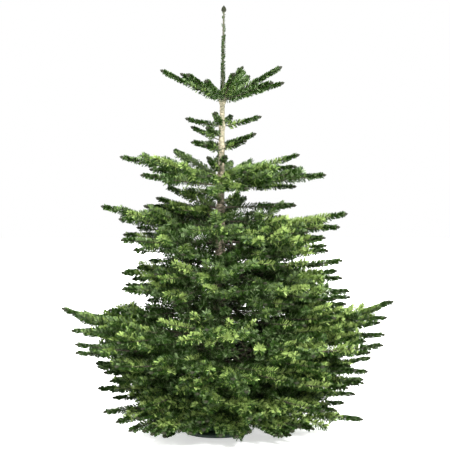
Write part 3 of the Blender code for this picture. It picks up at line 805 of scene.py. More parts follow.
def stood_on(tree, points, model, rotation, scale=(1.0, 1.0, 1.0)):
    """One model on every point."""
    shape = add(tree, "GeometryNodeObjectInfo", {"Object": model}, transform_space="ORIGINAL")
    return add(tree, "GeometryNodeInstanceOnPoints", {
        "Points": points, "Instance": shape.outputs["Geometry"], "Rotation": rotation, "Scale": scale,
    })


def painted(tree, geometry, material):
    """Ends a tree whose piece has one material."""
    real = add(tree, "GeometryNodeRealizeInstances", {"Geometry": geometry})
    done = add(tree, "GeometryNodeSetMaterial", {"Geometry": real, "Material": material})
    fill(tree, tree.nodes.new("NodeGroupOutput"), {"Geometry": done})
    print(f"{tree.name}: {len(tree.nodes)} nodes")
    return tree


def run_tree(obj, tree, values):
    """Adds the tree as a modifier, fills its inputs by their identifiers, and returns the mesh it makes."""
    modifier = obj.modifiers.new(tree.name, "NODES")
    modifier.node_group = tree
    for item in tree.interface.items_tree:
        if item.in_out == "INPUT" and item.name in values:
            modifier[item.identifier] = values[item.name]
    mesh = evaluated_mesh(obj)
    obj.modifiers.remove(modifier)
    bpy.data.objects.remove(obj)
    return mesh


# %% The node tree for needles
OPEN_AT_SIDES, OPEN_ON_TOP, OPEN_PLAY = 62, 54, 10  # degrees that a needle stands off its shoot
SHORTEST_NEEDLE, LONGEST_NEEDLE = 0.82, 1.12  # against its spray's
FACING_PLAY = 1.1  # against 1 upwards
# The noise that paints shade and highlights on the needles: its scale, and a random play for each needle.
LIGHT_SHADE_NOISE_SCALE, LIGHT_SHADE_NOISE_PLAY = 90.0, 0.08
# Painted shade: needles turned lower on their shoot than this are deep green more often, for the shade under
# a spray.
SHADED_BELOW, SHADED_MORE = -0.15, 0.25  # needles lower on their shoot than this are in the gaps more often
OPEN_SEED, FACING_SEED, LENGTH_SEED, LIGHT_SHADE_NOISE_SEED = 7, 5, 11, 13


def needle_tree():
    tree, given = new_tree("needles_along_shoots", (
        ("Spacing", "Float", 0.0004), ("Needle", "Object", None), ("Lowest Turn", "Float", -0.3),
        ("Dark Below", "Float", 0.43), ("Bright Above", "Float", 0.58), ("Seed", "Int", 1),
    ))
    curves = add(tree, "GeometryNodeMeshToCurve", {"Mesh": given["Geometry"]})
    steps = {"Curve": curves, "Length": given["Spacing"]}
    walk = add(tree, "GeometryNodeCurveToPoints", steps, mode="LENGTH")
    chance = random_value(tree, 0.0, 1.0, given["Seed"])
    too_many = {"Geometry": walk, "Selection": math_node(tree, "GREATER_THAN", chance, named(tree, "dense"))}
    points = add(tree, "GeometryNodeDeleteGeometry", too_many, domain="POINT")
    # the shoot's own directions: along it, level across it, and up from it
    tangent = walk.outputs["Tangent"]
    across = vector_node(tree, "CROSS_PRODUCT", tangent, (0.0, 0.0, 1.0))
    across = add(tree, "ShaderNodeVectorMath", {0: across}, operation="NORMALIZE")
    upward = vector_node(tree, "CROSS_PRODUCT", across, tangent)
    lowest = given["Lowest Turn"]
    highest = math_node(tree, "SUBTRACT", math.pi, lowest)
    turn = random_value(tree, lowest, highest, math_node(tree, "ADD", given["Seed"], 1))
    sine, cosine = math_node(tree, "SINE", turn), math_node(tree, "COSINE", turn)
    out = vector_node(tree, "ADD", scaled(tree, across, cosine), scaled(tree, upward, sine))
    # how far a needle stands off the shoot
    closer_on_top = math.radians(OPEN_ON_TOP - OPEN_AT_SIDES)
    opening = math_node(tree, "MULTIPLY_ADD", sine, closer_on_top, math.radians(OPEN_AT_SIDES))
    play = random_value(tree, math.radians(-OPEN_PLAY), math.radians(OPEN_PLAY), OPEN_SEED)
    angle = math_node(tree, "MULTIPLY", math_node(tree, "ADD", opening, play), named(tree, "open"))
    ahead = scaled(tree, tangent, math_node(tree, "COSINE", angle))
    heading = vector_node(tree, "ADD", ahead, scaled(tree, out, math_node(tree, "SINE", angle)))
    play = random_value(tree, (-FACING_PLAY,) * 3, (FACING_PLAY,) * 3, FACING_SEED, "FLOAT_VECTOR")
    facing = vector_node(tree, "ADD", upward, play)
    turned = add(tree, "FunctionNodeAlignRotationToVector", {"Vector": heading}, axis="X")
    turned = add(
        tree, "FunctionNodeAlignRotationToVector", {"Rotation": turned, "Vector": facing},
        axis="Z", pivot_axis="X",
    )
    off_stem = scaled(tree, out, named(tree, "stand"))
    points = add(tree, "GeometryNodeSetPosition", {"Geometry": points, "Offset": off_stem})
    # the needle's green, with painted shade and a painted highlight, by where its middle lies in a noise
    middle = vector_node(
        tree, "ADD", add(tree, "GeometryNodeInputPosition"), scaled(tree, heading, NEEDLE_LENGTH / 2)
    )
    light_and_shade_noise = noise_of(tree, LIGHT_SHADE_NOISE_SCALE, 0.0, middle)
    light_and_shade_noise = math_node(tree, "ADD", light_and_shade_noise, random_value(tree, -LIGHT_SHADE_NOISE_PLAY, LIGHT_SHADE_NOISE_PLAY, LIGHT_SHADE_NOISE_SEED))
    # painted shade on the underside of the spray
    shaded = math_node(tree, "MULTIPLY", math_node(tree, "LESS_THAN", sine, SHADED_BELOW), SHADED_MORE)
    painted_gap_shade = math_node(tree, "LESS_THAN", light_and_shade_noise, math_node(tree, "ADD", shaded, given["Dark Below"]))
    painted_highlight = math_node(tree, "GREATER_THAN", light_and_shade_noise, given["Bright Above"])
    green = named(tree, "green", "INT")
    highlight_green = math_node(tree, "MINIMUM", math_node(tree, "ADD", green, 1), FRESH)
    # first the painted highlight, then the painted shade
    for which, other in ((painted_highlight, highlight_green), (painted_gap_shade, DEEP)):
        choice = {"Switch": which, "False": green, "True": other}
        green = add(tree, "GeometryNodeSwitch", choice, input_type="INT")
    points = add(
        tree, "GeometryNodeStoreNamedAttribute", {"Geometry": points, "Name": "green", "Value": green},
        data_type="INT", domain="POINT",
    )
    own_length = random_value(tree, SHORTEST_NEEDLE, LONGEST_NEEDLE, LENGTH_SEED)
    long = math_node(tree, "MULTIPLY", named(tree, "long"), own_length)
    size = add(tree, "ShaderNodeCombineXYZ", {"X": long, "Y": named(tree, "wide"), "Z": 1.0})
    standing = stood_on(tree, points, given["Needle"], turned, size)
    geometry = add(tree, "GeometryNodeRealizeInstances", {"Geometry": standing})
    for number, material in GREENS.items():
        same = {"A": named(tree, "green", "INT"), "B": number}
        same = add(tree, "FunctionNodeCompare", same, data_type="INT", operation="EQUAL")
        paint = {"Geometry": geometry, "Selection": same, "Material": material}
        geometry = add(tree, "GeometryNodeSetMaterial", paint)
    fill(tree, tree.nodes.new("NodeGroupOutput"), {"Geometry": geometry})
    return tree


needles_on = needle_tree()
print(f"{needles_on.name}: {len(needles_on.nodes)} nodes")

# %% Stand the needles
NEEDLE_SPACING = 0.00026
LOWEST_TURN = -1.1
for number, (group, _, painted_shade_below) in enumerate(GROUPS):
    mesh = run_tree(needle_groups[group].as_object(), needles_on, {
        "Spacing": NEEDLE_SPACING, "Needle": needle_model, "Lowest Turn": LOWEST_TURN,
        "Dark Below": painted_shade_below, "Seed": 10 * number + 1,
    })
    held = [name for name, mass in masses.items() if name in frame["nodes"] and group_of(mass) == group]
    new_piece("needles_" + group, mesh, replaced=held)

# %% [markdown]
# ## The leader's needles
# The leader stands upright, so its needles stand all round it. They lie close to the stem, thickest low
# down and thinner further up, and leave the part under the buds nearly bare.

# %% Clothe the leader
LEADER_NEEDLES = (  # from and up to which height above the leader's foot, and how dense
    (0.012, 0.15, 0.8), (0.15, 0.27, 0.6), (0.27, 0.37, 0.16),
)
LEADER_LONG, LEADER_OPEN, LEADER_SPACING, LEADER_SEED = 0.34, 0.55, 0.00025, 91
leader_lines = Lines("needles_leader")
for low, high, dense in LEADER_NEEDLES:
    heights = [LEADER_BASE + low + (high - low) * k / LINE_STEPS for k in range(LINE_STEPS + 1)]
    leader_lines.add_line(
        [trunk_centre(height) for height in heights], stand=[trunk_radius(height) for height in heights],
        dense=[dense] * len(heights), long=[LEADER_LONG] * len(heights), open=[LEADER_OPEN] * len(heights),
        green=[DEEP] * len(heights), wide=[1.0] * len(heights),
    )
mesh = run_tree(leader_lines.as_object(), needles_on, {
    "Spacing": LEADER_SPACING, "Needle": needle_model, "Lowest Turn": -math.pi / 2, "Bright Above": 1.0,
    "Seed": LEADER_SEED,
})
new_piece("needles_leader", mesh)
bpy.data.objects.remove(needle_model)

# %% [markdown]
# ## Twigs, boughs and limbs
# A twig is a thin round stem that tapers to its bud, and a bough is the same with bark. One tree sweeps a
# ring along every line, with the radius that the line's points carry. For the boughs it also moves the
# surface in and out along its normals by a noise, which makes the wrinkles of young bark real.

# %% The node tree for stems
STEM_WRINKLES = 160.0


def stem_tree():
    tree, given = new_tree("stems_along_lines", (
        ("Sides", "Int", 3), ("Relief", "Float", 0.0), ("Material", "Material", None),
    ))
    curves = add(tree, "GeometryNodeMeshToCurve", {"Mesh": given["Geometry"]})
    ring = {"Resolution": given["Sides"], "Radius": 1.0}
    ring = add(tree, "GeometryNodeCurvePrimitiveCircle", ring, mode="RADIUS")
    sweep = {"Curve": curves, "Profile Curve": ring, "Fill Caps": True, "Scale": named(tree, "thick")}
    stems = add(tree, "GeometryNodeCurveToMesh", sweep)
    wrinkles = math_node(tree, "SUBTRACT", noise_of(tree, STEM_WRINKLES, 1.0), 0.5)
    depth = math_node(tree, "MULTIPLY", wrinkles, given["Relief"])
    offset = scaled(tree, add(tree, "GeometryNodeInputNormal"), depth)
    stems = add(tree, "GeometryNodeSetPosition", {"Geometry": stems, "Offset": offset})
    return painted(tree, stems, given["Material"])


stems_along = stem_tree()

# %% Sweep the twigs
TWIG_SIDES = 3
twig_bark = new_material("twig_bark", (0.040, 0.036, 0.015), 0.8)
mesh = run_tree(twig_lines.as_object(), stems_along, {"Sides": TWIG_SIDES, "Material": twig_bark})
new_piece("twigs", mesh)

# %% [markdown]
# ## Bark
# Young fir bark is smooth and grey, with a warmer colour low down and a green one where it is youngest. It
# has resin blisters, small pores that lie across the stem, and pale patches. The patterns read Object
# coordinates, so they stay put on the wood. One function makes it for the trunk and for the boughs.


# %% Helpers for materials
def map_range(tree, value, low, high, to_low=0.0, to_high=1.0):
    ends = {"From Min": low, "From Max": high, "To Min": to_low, "To Max": to_high}
    return add(tree, "ShaderNodeMapRange", {"Value": value, **ends})


def mixed(tree, share, one, other):
    """A share of the other colour in the one. Each is a colour or a node that makes one."""
    colours = {"A": one, "B": other}
    colours = {key: (*value, 1) if isinstance(value, tuple) else value for key, value in colours.items()}
    return add(tree, "ShaderNodeMix", {"Factor": share, **colours}, data_type="RGBA")


def finish_shader(tree, colour, rough, height, strength, distance):
    """Links a colour, a roughness and a bump of this height to the material's shader."""
    bump = add(tree, "ShaderNodeBump", {"Strength": strength, "Distance": distance, "Height": height})
    shader = tree.nodes["Principled BSDF"]
    fill(tree, shader, {"Base Color": colour, "Roughness": rough, "Normal": bump})


# %% The bark's material
PATCH_SCALE, PORE_SCALE, BLISTER_SCALE = 75.0, 80.0, 120.0
PORES_FLATTER = 3.5  # how much flatter than wide a pore is
PATCHES_END, PATCHES_FULL = 1.40, 1.36  # no pale patches above the first height, all of them under the other
PALE_STRENGTH, DARK_STRENGTH = 0.7, 0.85


def bark_material(name, low_colour, *changes):
    """Each change is a colour and the two heights between which the bark turns to it."""
    made = new_material(name, low_colour, 0.8)
    tree = made.node_tree
    place = add(tree, "ShaderNodeTexCoord").outputs["Object"]
    height = add(tree, "ShaderNodeSeparateXYZ", {"Vector": place}).outputs["Z"]
    across = add(tree, "ShaderNodeMapping", {"Vector": place, "Scale": (1.0, 1.0, PORES_FLATTER)})
    patches, pores = noise_of(tree, PATCH_SCALE, 3.0, place), noise_of(tree, PORE_SCALE, 3.0, across)
    blisters = add(tree, "ShaderNodeTexVoronoi", {"Vector": place, "Scale": BLISTER_SCALE})
    colour = low_colour
    for colour_above, low, high in changes:
        colour = mixed(tree, map_range(tree, height, low, high), colour, colour_above)
    pale = tuple(3.0 * c + 0.04 for c in low_colour)
    dark = (0.10 * low_colour[0], 0.18 * low_colour[1], 0.06 * low_colour[2])
    on_wood = map_range(tree, height, PATCHES_END, PATCHES_FULL)
    paler = math_node(tree, "MULTIPLY", map_range(tree, patches, 0.50, 0.68), on_wood)
    darker = map_range(tree, pores, 0.50, 0.60)
    colour = mixed(tree, math_node(tree, "MULTIPLY", paler, PALE_STRENGTH), colour, pale)
    colour = mixed(tree, math_node(tree, "MULTIPLY", darker, DARK_STRENGTH), colour, dark)
    rough = map_range(tree, patches, 0.3, 0.7, 0.68, 0.92)
    sunk_pores = math_node(tree, "MULTIPLY", pores, -0.6)
    raised = math_node(tree, "MULTIPLY", blisters.outputs["Distance"], -0.5)
    finish_shader(tree, colour, rough, math_node(tree, "ADD", sunk_pores, raised), 0.5, 0.0008)
    return made


OLD_BARK, MIDDLE_BARK, GREEN_BARK = (0.145, 0.117, 0.080), (0.200, 0.185, 0.120), (0.044, 0.044, 0.022)
trunk_bark = bark_material("trunk_bark", OLD_BARK, (MIDDLE_BARK, 0.85, 1.25), (GREEN_BARK, 1.38, 1.41))
bough_bark = bark_material("bough_bark", (0.038, 0.028, 0.019), ((0.054, 0.047, 0.024), 0.60, 1.20))
print(f"{trunk_bark.name}, {bough_bark.name}")

# %% Sweep the boughs
BOUGH_STEP, LEAST_STEPS = 0.024, 4
BOUGH_SIDES, BOUGH_RELIEF = 6, 0.0014
BOUGH_SHARE, LEAST_BOUGH, BOUGH_TIP = 0.0125, 0.0026, 0.0014  # radii: by its length, at least, and at the tip
BOUGH_TAPER = 0.8
LIMB_FOOT_RADIUS = 0.0105
bough_lines = Lines("boughs")
for mass in masses.values():
    main = mass.shoots[0]
    foot = max(LEAST_BOUGH, BOUGH_SHARE * main.length)
    if main.key.startswith("tier_6."):
        foot = LIMB_FOOT_RADIUS
    first = 0.5 * trunk_radius(main.start.z) / main.length  # it starts inside the trunk
    steps = spaced(first, 1, max(LEAST_STEPS, round(main.length / BOUGH_STEP)))
    thick = [BOUGH_TIP + (foot - BOUGH_TIP) * max(0.0, 1 - t) ** BOUGH_TAPER for t in steps]
    bough_lines.add_line([main.at(t) for t in steps], thick=thick)
sizes = {"Sides": BOUGH_SIDES, "Relief": BOUGH_RELIEF, "Material": bough_bark}
mesh = run_tree(bough_lines.as_object(), stems_along, sizes)
limbs = [name for name in frame["nodes"] if name.startswith("bough_")]
new_piece("boughs", mesh, replaced=limbs)

# %% [markdown]
# ## The trunk
# The trunk is a stack of rings. Its radius grows downwards at the rate that the solid has, and swells at
# every tier of boughs. Each bough has a collar of wood about its foot. Small noises give the wrinkles and
# blisters of the bark real depth. Rings were chosen over a swept ring because every point has to know its
# bearing, for the collars.

# %% The trunk's surface
WRINKLE, BLISTER = 0.0006, 0.0009
WRINKLES_ACROSS, WRINKLES_UPWARDS, BLISTERS, BLISTER_EDGE = 90, 260, 95, 0.32
ROUGH_RADIUS = 0.02  # a thinner stem has smaller wrinkles
COLLAR_DEPTH, COLLAR_WIDTH, COLLAR_BOUGH = 0.0042, 0.012, 0.5  # a bough of this length has a full collar
collars = []
for mass in masses.values():
    main = mass.shoots[0]
    bearing = math.atan2(main.heading.y, main.heading.x)
    collars.append((mass.height, bearing, min(1.0, main.length / COLLAR_BOUGH)))


def trunk_surface(height, angle):
    radius = trunk_radius(height)
    for tier in TIERS:
        radius += NODE_SWELL * math.exp(-(((height - tier.height) / NODE_HEIGHT) ** 2))
    for collar_height, bearing, strength in collars:
        rise = height - collar_height
        if abs(rise) < 3 * COLLAR_WIDTH:
            aside = radius * math.remainder(angle - bearing, math.tau)
            radius += strength * COLLAR_DEPTH * math.exp(-(rise**2 + aside**2) / COLLAR_WIDTH**2)
    point = about_axis(radius, angle, height)
    strength = min(1.0, radius / ROUGH_RADIUS)
    ripple = (point.x * WRINKLES_ACROSS, point.y * WRINKLES_ACROSS, point.z * WRINKLES_UPWARDS)
    radius += strength * WRINKLE * noise.noise(Vector(ripple))
    nearest = noise.voronoi(point * BLISTERS)[0][0]
    radius += strength * BLISTER * max(0.0, BLISTER_EDGE - nearest) / BLISTER_EDGE
    return trunk_centre(height) + about_axis(radius, angle)


print(f"{len(collars)} collars")

# %% Shape the trunk
TRUNK_SIDES, RING_STEP = 32, 0.004
BUD_START = TREE_HEIGHT - BUD_LENGTH


def ring_mesh(name, rings, material):
    """A closed skin over rings of points, each ring with the same count."""
    sides = len(rings[0])
    mesh = bpy.data.meshes.new(name)
    faces = [tuple(reversed(range(sides)))]
    for low in range(len(rings) - 1):
        for k in range(sides):
            a, b = low * sides + k, low * sides + (k + 1) % sides
            faces.append((a, b, b + sides, a + sides))
    top = (len(rings) - 1) * sides
    faces.append(tuple(range(top, top + sides)))
    mesh.from_pydata([point for ring in rings for point in ring], [], faces)
    mesh.materials.append(material)
    mesh.polygons.foreach_set("use_smooth", [True] * len(faces))
    return mesh


heights = []
height = TRUNK_FOOT
while height < BUD_START:
    heights.append(height)
    height += RING_STEP
rings = [[trunk_surface(height, angle) for angle in turns(TRUNK_SIDES)] for height in heights + [BUD_START]]
new_piece("trunk_bark", ring_mesh("trunk", rings, trunk_bark), replaced=["trunk"])

# %% [markdown]
# ## Buds
# A fir's buds are small blunt cones of brown scales, one at the end of every shoot and, on the boughs'
# own ends, two more beside it. Those deep inside the crown don't show and are left out. Each has only
# sixteen triangles, is turned to the shoot's own direction and is instanced on points that carry it.

# %% Model one bud
BUD_MODEL_LENGTH, BUD_MODEL_RADIUS, BUD_SIDES = 0.0075, 0.0026, 4
BUD_FOOT = -0.001
points = [(0, 0, BUD_FOOT)]
for width, height in ((0.8, 0.15), (1.0, 0.55)):  # shares of its radius and its length
    radius, height = BUD_MODEL_RADIUS * width, BUD_MODEL_LENGTH * height
    points += [about_axis(radius, turn, height) for turn in turns(BUD_SIDES)]
points.append((0, 0, BUD_MODEL_LENGTH))
faces = []
for k in range(BUD_SIDES):
    low, after = 1 + k, 1 + (k + 1) % BUD_SIDES
    high, high_after = low + BUD_SIDES, after + BUD_SIDES
    faces += [(0, after, low), (low, after, high_after, high), (high, high_after, len(points) - 1)]
bud_mesh = bpy.data.meshes.new("bud")
bud_mesh.from_pydata(points, [], faces)
bud_model = placed("bud_model", bud_mesh)
bud_scales = new_material("bud_scales", (0.015, 0.018, 0.008), 0.7, Specular_IOR_Level=0.15)
print(f"a bud has {len(bud_mesh.polygons)} faces")

# %% Place the buds
BUDS_FROM = 0.55  # how far out they begin, where the crown is closed
BUD_SIZE, LEADING_BUD_SIZE, BESIDE_SIZE = 1.1, 2.7, 1.9
BESIDE_TURN = 0.55  # how far aside a bud looks that stands beside another, against 1 ahead
SUNK, ASIDE = 0.002, 0.004
TOP_BUD_SIZE, TOP_SUNK = 3.3, 0.001
TOP_SIDE_BUDS, TOP_SIDE_SIZE, TOP_SIDE_TURN, TOP_SIDE_SUNK, TOP_SIDE_OUT = 4, 2.0, 0.38, 0.003, 0.0035
places, headings, bud_sizes = [], [], []


def place_bud(place, heading, size):
    places.append(place)
    headings.append(heading.normalized())
    bud_sizes.append(size)


for mass in masses.values():
    for shoot in mass.shoots:
        end, ahead = shoot.at(1.0), shoot.direction(1.0)
        if depth_share(end) < BUDS_FROM and end.z < CROWN_OPEN:
            continue
        place_bud(end - ahead * SUNK, ahead, BUD_SIZE if shoot.order else LEADING_BUD_SIZE)
        if shoot.order == 0:
            across = ahead.cross(UP).normalized()
            for turn in (BESIDE_TURN, -BESIDE_TURN):
                place_bud(end - ahead * SUNK + across * turn * ASIDE, ahead + across * turn, BESIDE_SIZE)
leader_end = trunk_centre(BUD_START)
place_bud(leader_end - UP * TOP_SUNK, UP, TOP_BUD_SIZE)
for turn in turns(TOP_SIDE_BUDS):
    out = about_axis(1, turn)
    place_bud(leader_end + out * TOP_SIDE_OUT - UP * TOP_SIDE_SUNK, UP + out * TOP_SIDE_TURN, TOP_SIDE_SIZE)
bud_points = bpy.data.meshes.new("bud_points")
bud_points.from_pydata(places, [], [])
directions = [number for heading in headings for number in heading]
bud_points.attributes.new("heading", "FLOAT_VECTOR", "POINT").data.foreach_set("vector", directions)
bud_points.attributes.new("size", "FLOAT", "POINT").data.foreach_set("value", bud_sizes)
print(f"{len(places)} buds")


# %% The node tree for buds
def bud_tree():
    tree, given = new_tree("buds_at_ends", (("Bud", "Object", None), ("Material", "Material", None)))
    heading = named(tree, "heading", "FLOAT_VECTOR")
    turned = add(tree, "FunctionNodeAlignRotationToVector", {"Vector": heading}, axis="Z")
    points = add(tree, "GeometryNodeMeshToPoints", {"Mesh": given["Geometry"]})
    buds = stood_on(tree, points, given["Bud"], turned, named(tree, "size"))
    return painted(tree, buds, given["Material"])


mesh = run_tree(placed("bud_points", bud_points), bud_tree(), {"Bud": bud_model, "Material": bud_scales})
bpy.data.objects.remove(bud_model)
new_piece("buds", mesh)

# %% [markdown]
# ## The stand
# The stand is a plain moulded cone with a sleeve that takes the trunk's butt. A lathe would turn it, so its
# half outline is drawn once, its corners are rounded, and it is turned about the upright axis. Three webs and
# three bosses for the screws are joined to it with Boolean modifiers, which leave one closed skin.

# %% The stand's outline
FOOT_RADIUS, FOOT_EDGE, FOOT_BEVEL = 0.135, 0.012, (0.004, 0.001)
SLEEVE_BORE, SLEEVE_RADIUS, SLEEVE_FLOOR, RIM_BEAD = 0.0365, 0.050, 0.012, 0.004
SKIRT_START, SKIRT_STEPS = 0.124, 14
SKIRT_FOOT = 0.006  # above the foot's edge
SKIRT_TOP, SKIRT_HOLLOW = 0.66, 2.2  # a share of the stand's height, and over 1 to curve inwards
CORNER_ROUNDING, CORNER_STEPS = 0.0018, 4
CORNER_MOST = 0.45  # the share of a side that a corner may take
STAND_SIDES = 96


def skirt_point(share):
    """The concave skirt between the foot's edge (0) and the sleeve (1)."""
    return (
        SLEEVE_RADIUS + (SKIRT_START - SLEEVE_RADIUS) * (1 - share),
        FOOT_EDGE + SKIRT_FOOT + (STAND_TOP * SKIRT_TOP - FOOT_EDGE) * share**SKIRT_HOLLOW,
    )


def rounded(outline, radius):
    """An outline with each inner corner replaced by a small arc."""
    made = [outline[0]]
    for corner in zip(outline, outline[1:], outline[2:]):
        before, corner, after = (Vector(point) for point in corner)
        reach = min(radius, CORNER_MOST * (before - corner).length, CORNER_MOST * (after - corner).length)
        start = corner + (before - corner).normalized() * reach
        end = corner + (after - corner).normalized() * reach
        for t in spaced(0, 1, CORNER_STEPS):
            made.append(tuple(start * (1 - t) ** 2 + corner * 2 * t * (1 - t) + end * t * t))
    return made + [outline[-1]]


rim_radius = SLEEVE_RADIUS + RIM_BEAD
rim = [
    (SLEEVE_BORE, SLEEVE_FLOOR), (SLEEVE_BORE, STAND_TOP), (rim_radius, STAND_TOP),
    (rim_radius, STAND_TOP - 2 * RIM_BEAD), (SLEEVE_RADIUS, STAND_TOP - 3 * RIM_BEAD),
]
skirt = [skirt_point(share) for share in spaced(1, 0, SKIRT_STEPS)]
foot = [
    (FOOT_RADIUS - FOOT_BEVEL[0], FOOT_EDGE + FOOT_BEVEL[1]), (FOOT_RADIUS, FOOT_EDGE), (FOOT_RADIUS, 0.0),
]
outline = rounded([(0.0, SLEEVE_FLOOR)] + rim + skirt + foot + [(0.0, 0.0)], CORNER_ROUNDING)
print(f"{len(outline)} points in the stand's outline")

# %% Helpers for turned and joined shapes
BAR_ROUNDING = 0.001


def as_mesh(shape, name):
    """Ends the work on a shape and returns its mesh."""
    mesh = bpy.data.meshes.new(name)
    shape.to_mesh(mesh)
    shape.free()
    return mesh


def turned_mesh(name, outline, sides):
    """Turns an outline whose two ends lie on the axis. The skin is closed and looks outwards."""
    shape = bmesh.new()
    ends = [shape.verts.new((0, 0, outline[k][1])) for k in (0, -1)]
    rings = [[shape.verts.new(about_axis(r, turn, z)) for turn in turns(sides)] for r, z in outline[1:-1]]
    for k in range(sides):
        after = (k + 1) % sides
        shape.faces.new((ends[0], rings[0][k], rings[0][after]))
        shape.faces.new((ends[1], rings[-1][after], rings[-1][k]))
        for one, other in zip(rings, rings[1:]):
            shape.faces.new((one[k], other[k], other[after], one[after]))
    bmesh.ops.recalc_face_normals(shape, faces=shape.faces)
    return as_mesh(shape, name)


def bar_mesh(name, radius, start, end, sides):
    """A round bar along X."""
    outline = rounded([(0.0, start), (radius, start), (radius, end), (0.0, end)], BAR_ROUNDING)
    mesh = turned_mesh(name, outline, sides)
    mesh.transform(Matrix.Rotation(math.pi / 2, 4, "Y"))
    return mesh


def boolean(target, operation, collection):
    step = target.modifiers.new(operation.lower(), "BOOLEAN")
    step.operation, step.operand_type, step.collection = operation, "COLLECTION", collection
    step.solver = "MANIFOLD"


# %% Turn the stand
SCREWS, FIRST_SCREW, SCREW_HEIGHT, SCREW_RADIUS = 3, 90, 0.104, 0.0045
SCREW_ROOM, BORE_START, BORE_END, BORE_SIDES = 0.0004, 0.02, 0.08, 24
BOSS_RADIUS, BOSS_LENGTH, BOSS_SIDES, BOSS_SUNK = 0.0095, 0.0075, 32, 0.004
RIB_THICKNESS, RIB_ROUNDING = 0.007, 0.0015
RIB_IN_SLEEVE, RIB_ON_SKIRT, RIB_SUNK, RIB_CORNER = 0.006, 0.008, 0.004, 0.012


def rib_mesh():
    """A web on the skirt that stiffens the sleeve, run well into both."""
    inner, outer = SLEEVE_RADIUS - RIB_IN_SLEEVE, SKIRT_START - RIB_ON_SKIRT
    top, low = STAND_TOP - 4 * RIM_BEAD, skirt_point(0.0)[1] - RIB_SUNK
    corners = [(inner, low), (outer, low), (outer, low + RIB_CORNER), (inner + RIB_CORNER, top), (inner, top)]
    shape, count = bmesh.new(), len(corners)
    for y in (-RIB_THICKNESS / 2, RIB_THICKNESS / 2):
        shape.faces.new([shape.verts.new((x, y, z)) for x, z in corners])
    shape.verts.ensure_lookup_table()
    for k in range(count):
        after = (k + 1) % count
        shape.faces.new([shape.verts[i] for i in (k, after, count + after, count + k)])
    bmesh.ops.recalc_face_normals(shape, faces=shape.faces)
    bmesh.ops.bevel(shape, geom=shape.edges[:], offset=RIB_ROUNDING, segments=2, affect="EDGES")
    return as_mesh(shape, "rib")


added, bored = (bpy.data.collections.new(name) for name in ("added", "bored"))
for collection in (added, bored):
    bpy.context.scene.collection.children.link(collection)
stand = placed("stand", turned_mesh("stand", outline, STAND_SIDES))
for number in range(SCREWS):
    turn = math.radians(FIRST_SCREW + 360 * number / SCREWS)
    rib = placed("rib", rib_mesh(), added)
    rib.rotation_euler.z = turn + math.pi / SCREWS
    boss = bar_mesh("boss", BOSS_RADIUS, SLEEVE_BORE + BOSS_SUNK, SLEEVE_RADIUS + BOSS_LENGTH, BOSS_SIDES)
    bore = bar_mesh("bore", SCREW_RADIUS + SCREW_ROOM, BORE_START, BORE_END, BORE_SIDES)
    for mesh, collection in ((boss, added), (bore, bored)):
        part = placed(mesh.name, mesh, collection)
        part.rotation_euler.z, part.location.z = turn, SCREW_HEIGHT
boolean(stand, "UNION", added)
boolean(stand, "DIFFERENCE", bored)
stand_mesh = evaluated_mesh(stand)
for unused in [stand, *added.objects, *bored.objects]:
    bpy.data.objects.remove(unused)
for collection in (added, bored):
    bpy.data.collections.remove(collection)
print(f"the stand has {len(stand_mesh.polygons)} faces")

# %% [markdown]
# ## The stand's plastic
# Moulded plastic is one colour all through. What shows on it is a fine grain from the mould, an uneven
# gloss, and some dust on what faces up. The grain is a bump, the gloss a noise in the roughness, and the
# dust a pale tint that follows the upward part of the normal.

# %% The stand's material
CREASE_ANGLE = 40  # degrees; edges sharper than this aren't smoothed
stand_plastic = new_material("stand_plastic", (0.012, 0.034, 0.022), 0.42)
tree = stand_plastic.node_tree
place = add(tree, "ShaderNodeTexCoord").outputs["Object"]
normal = add(tree, "ShaderNodeNewGeometry").outputs["Normal"]
upward = add(tree, "ShaderNodeSeparateXYZ", {"Vector": normal}).outputs["Z"]
cloud, grain = noise_of(tree, 22.0, 4.0, place), noise_of(tree, 900.0, 1.0, place)
dusty = map_range(tree, cloud, 0.35, 0.75, 0.0, 0.22)
dust = math_node(tree, "MULTIPLY", map_range(tree, upward, 0.2, 1.0), dusty)
tint = mixed(tree, map_range(tree, cloud, 0.3, 0.7), (0.010, 0.030, 0.019), (0.017, 0.044, 0.029))
tint = mixed(tree, dust, tint, (0.16, 0.15, 0.12))
finish_shader(tree, tint, map_range(tree, cloud, 0.3, 0.7, 0.34, 0.55), grain, 0.25, 0.0004)
stand_mesh.materials.clear()
stand_mesh.polygons.foreach_set("use_smooth", [True] * len(stand_mesh.polygons))
stand_mesh.set_sharp_from_angle(angle=math.radians(CREASE_ANGLE))
new_piece("stand", stand_mesh, [stand_plastic], ["stand_base"])

# %% [markdown]
# ## The clamp screws
# Three screws hold the trunk upright. Each is a threaded rod with a knurled knob. The thread is a helix
# in the rod's radius and the knurl is a ripple in the knob's, so both are real in the mesh. One screw is
# modelled along X, and a node tree sets as many as are asked for about the sleeve.

# %% The screws' steel
steel = new_material("screw_steel", (0.42, 0.42, 0.43), 0.35, Metallic=1.0)
tree = steel.node_tree
streaks = noise_of(tree, 260.0, 3.0, add(tree, "ShaderNodeTexCoord").outputs["Object"])
tone = mixed(tree, map_range(tree, streaks, 0.35, 0.7), (0.36, 0.355, 0.345), (0.52, 0.52, 0.53))
finish_shader(tree, tone, map_range(tree, streaks, 0.3, 0.7, 0.26, 0.52), streaks, 0.2, 0.0003)
print(steel.name)

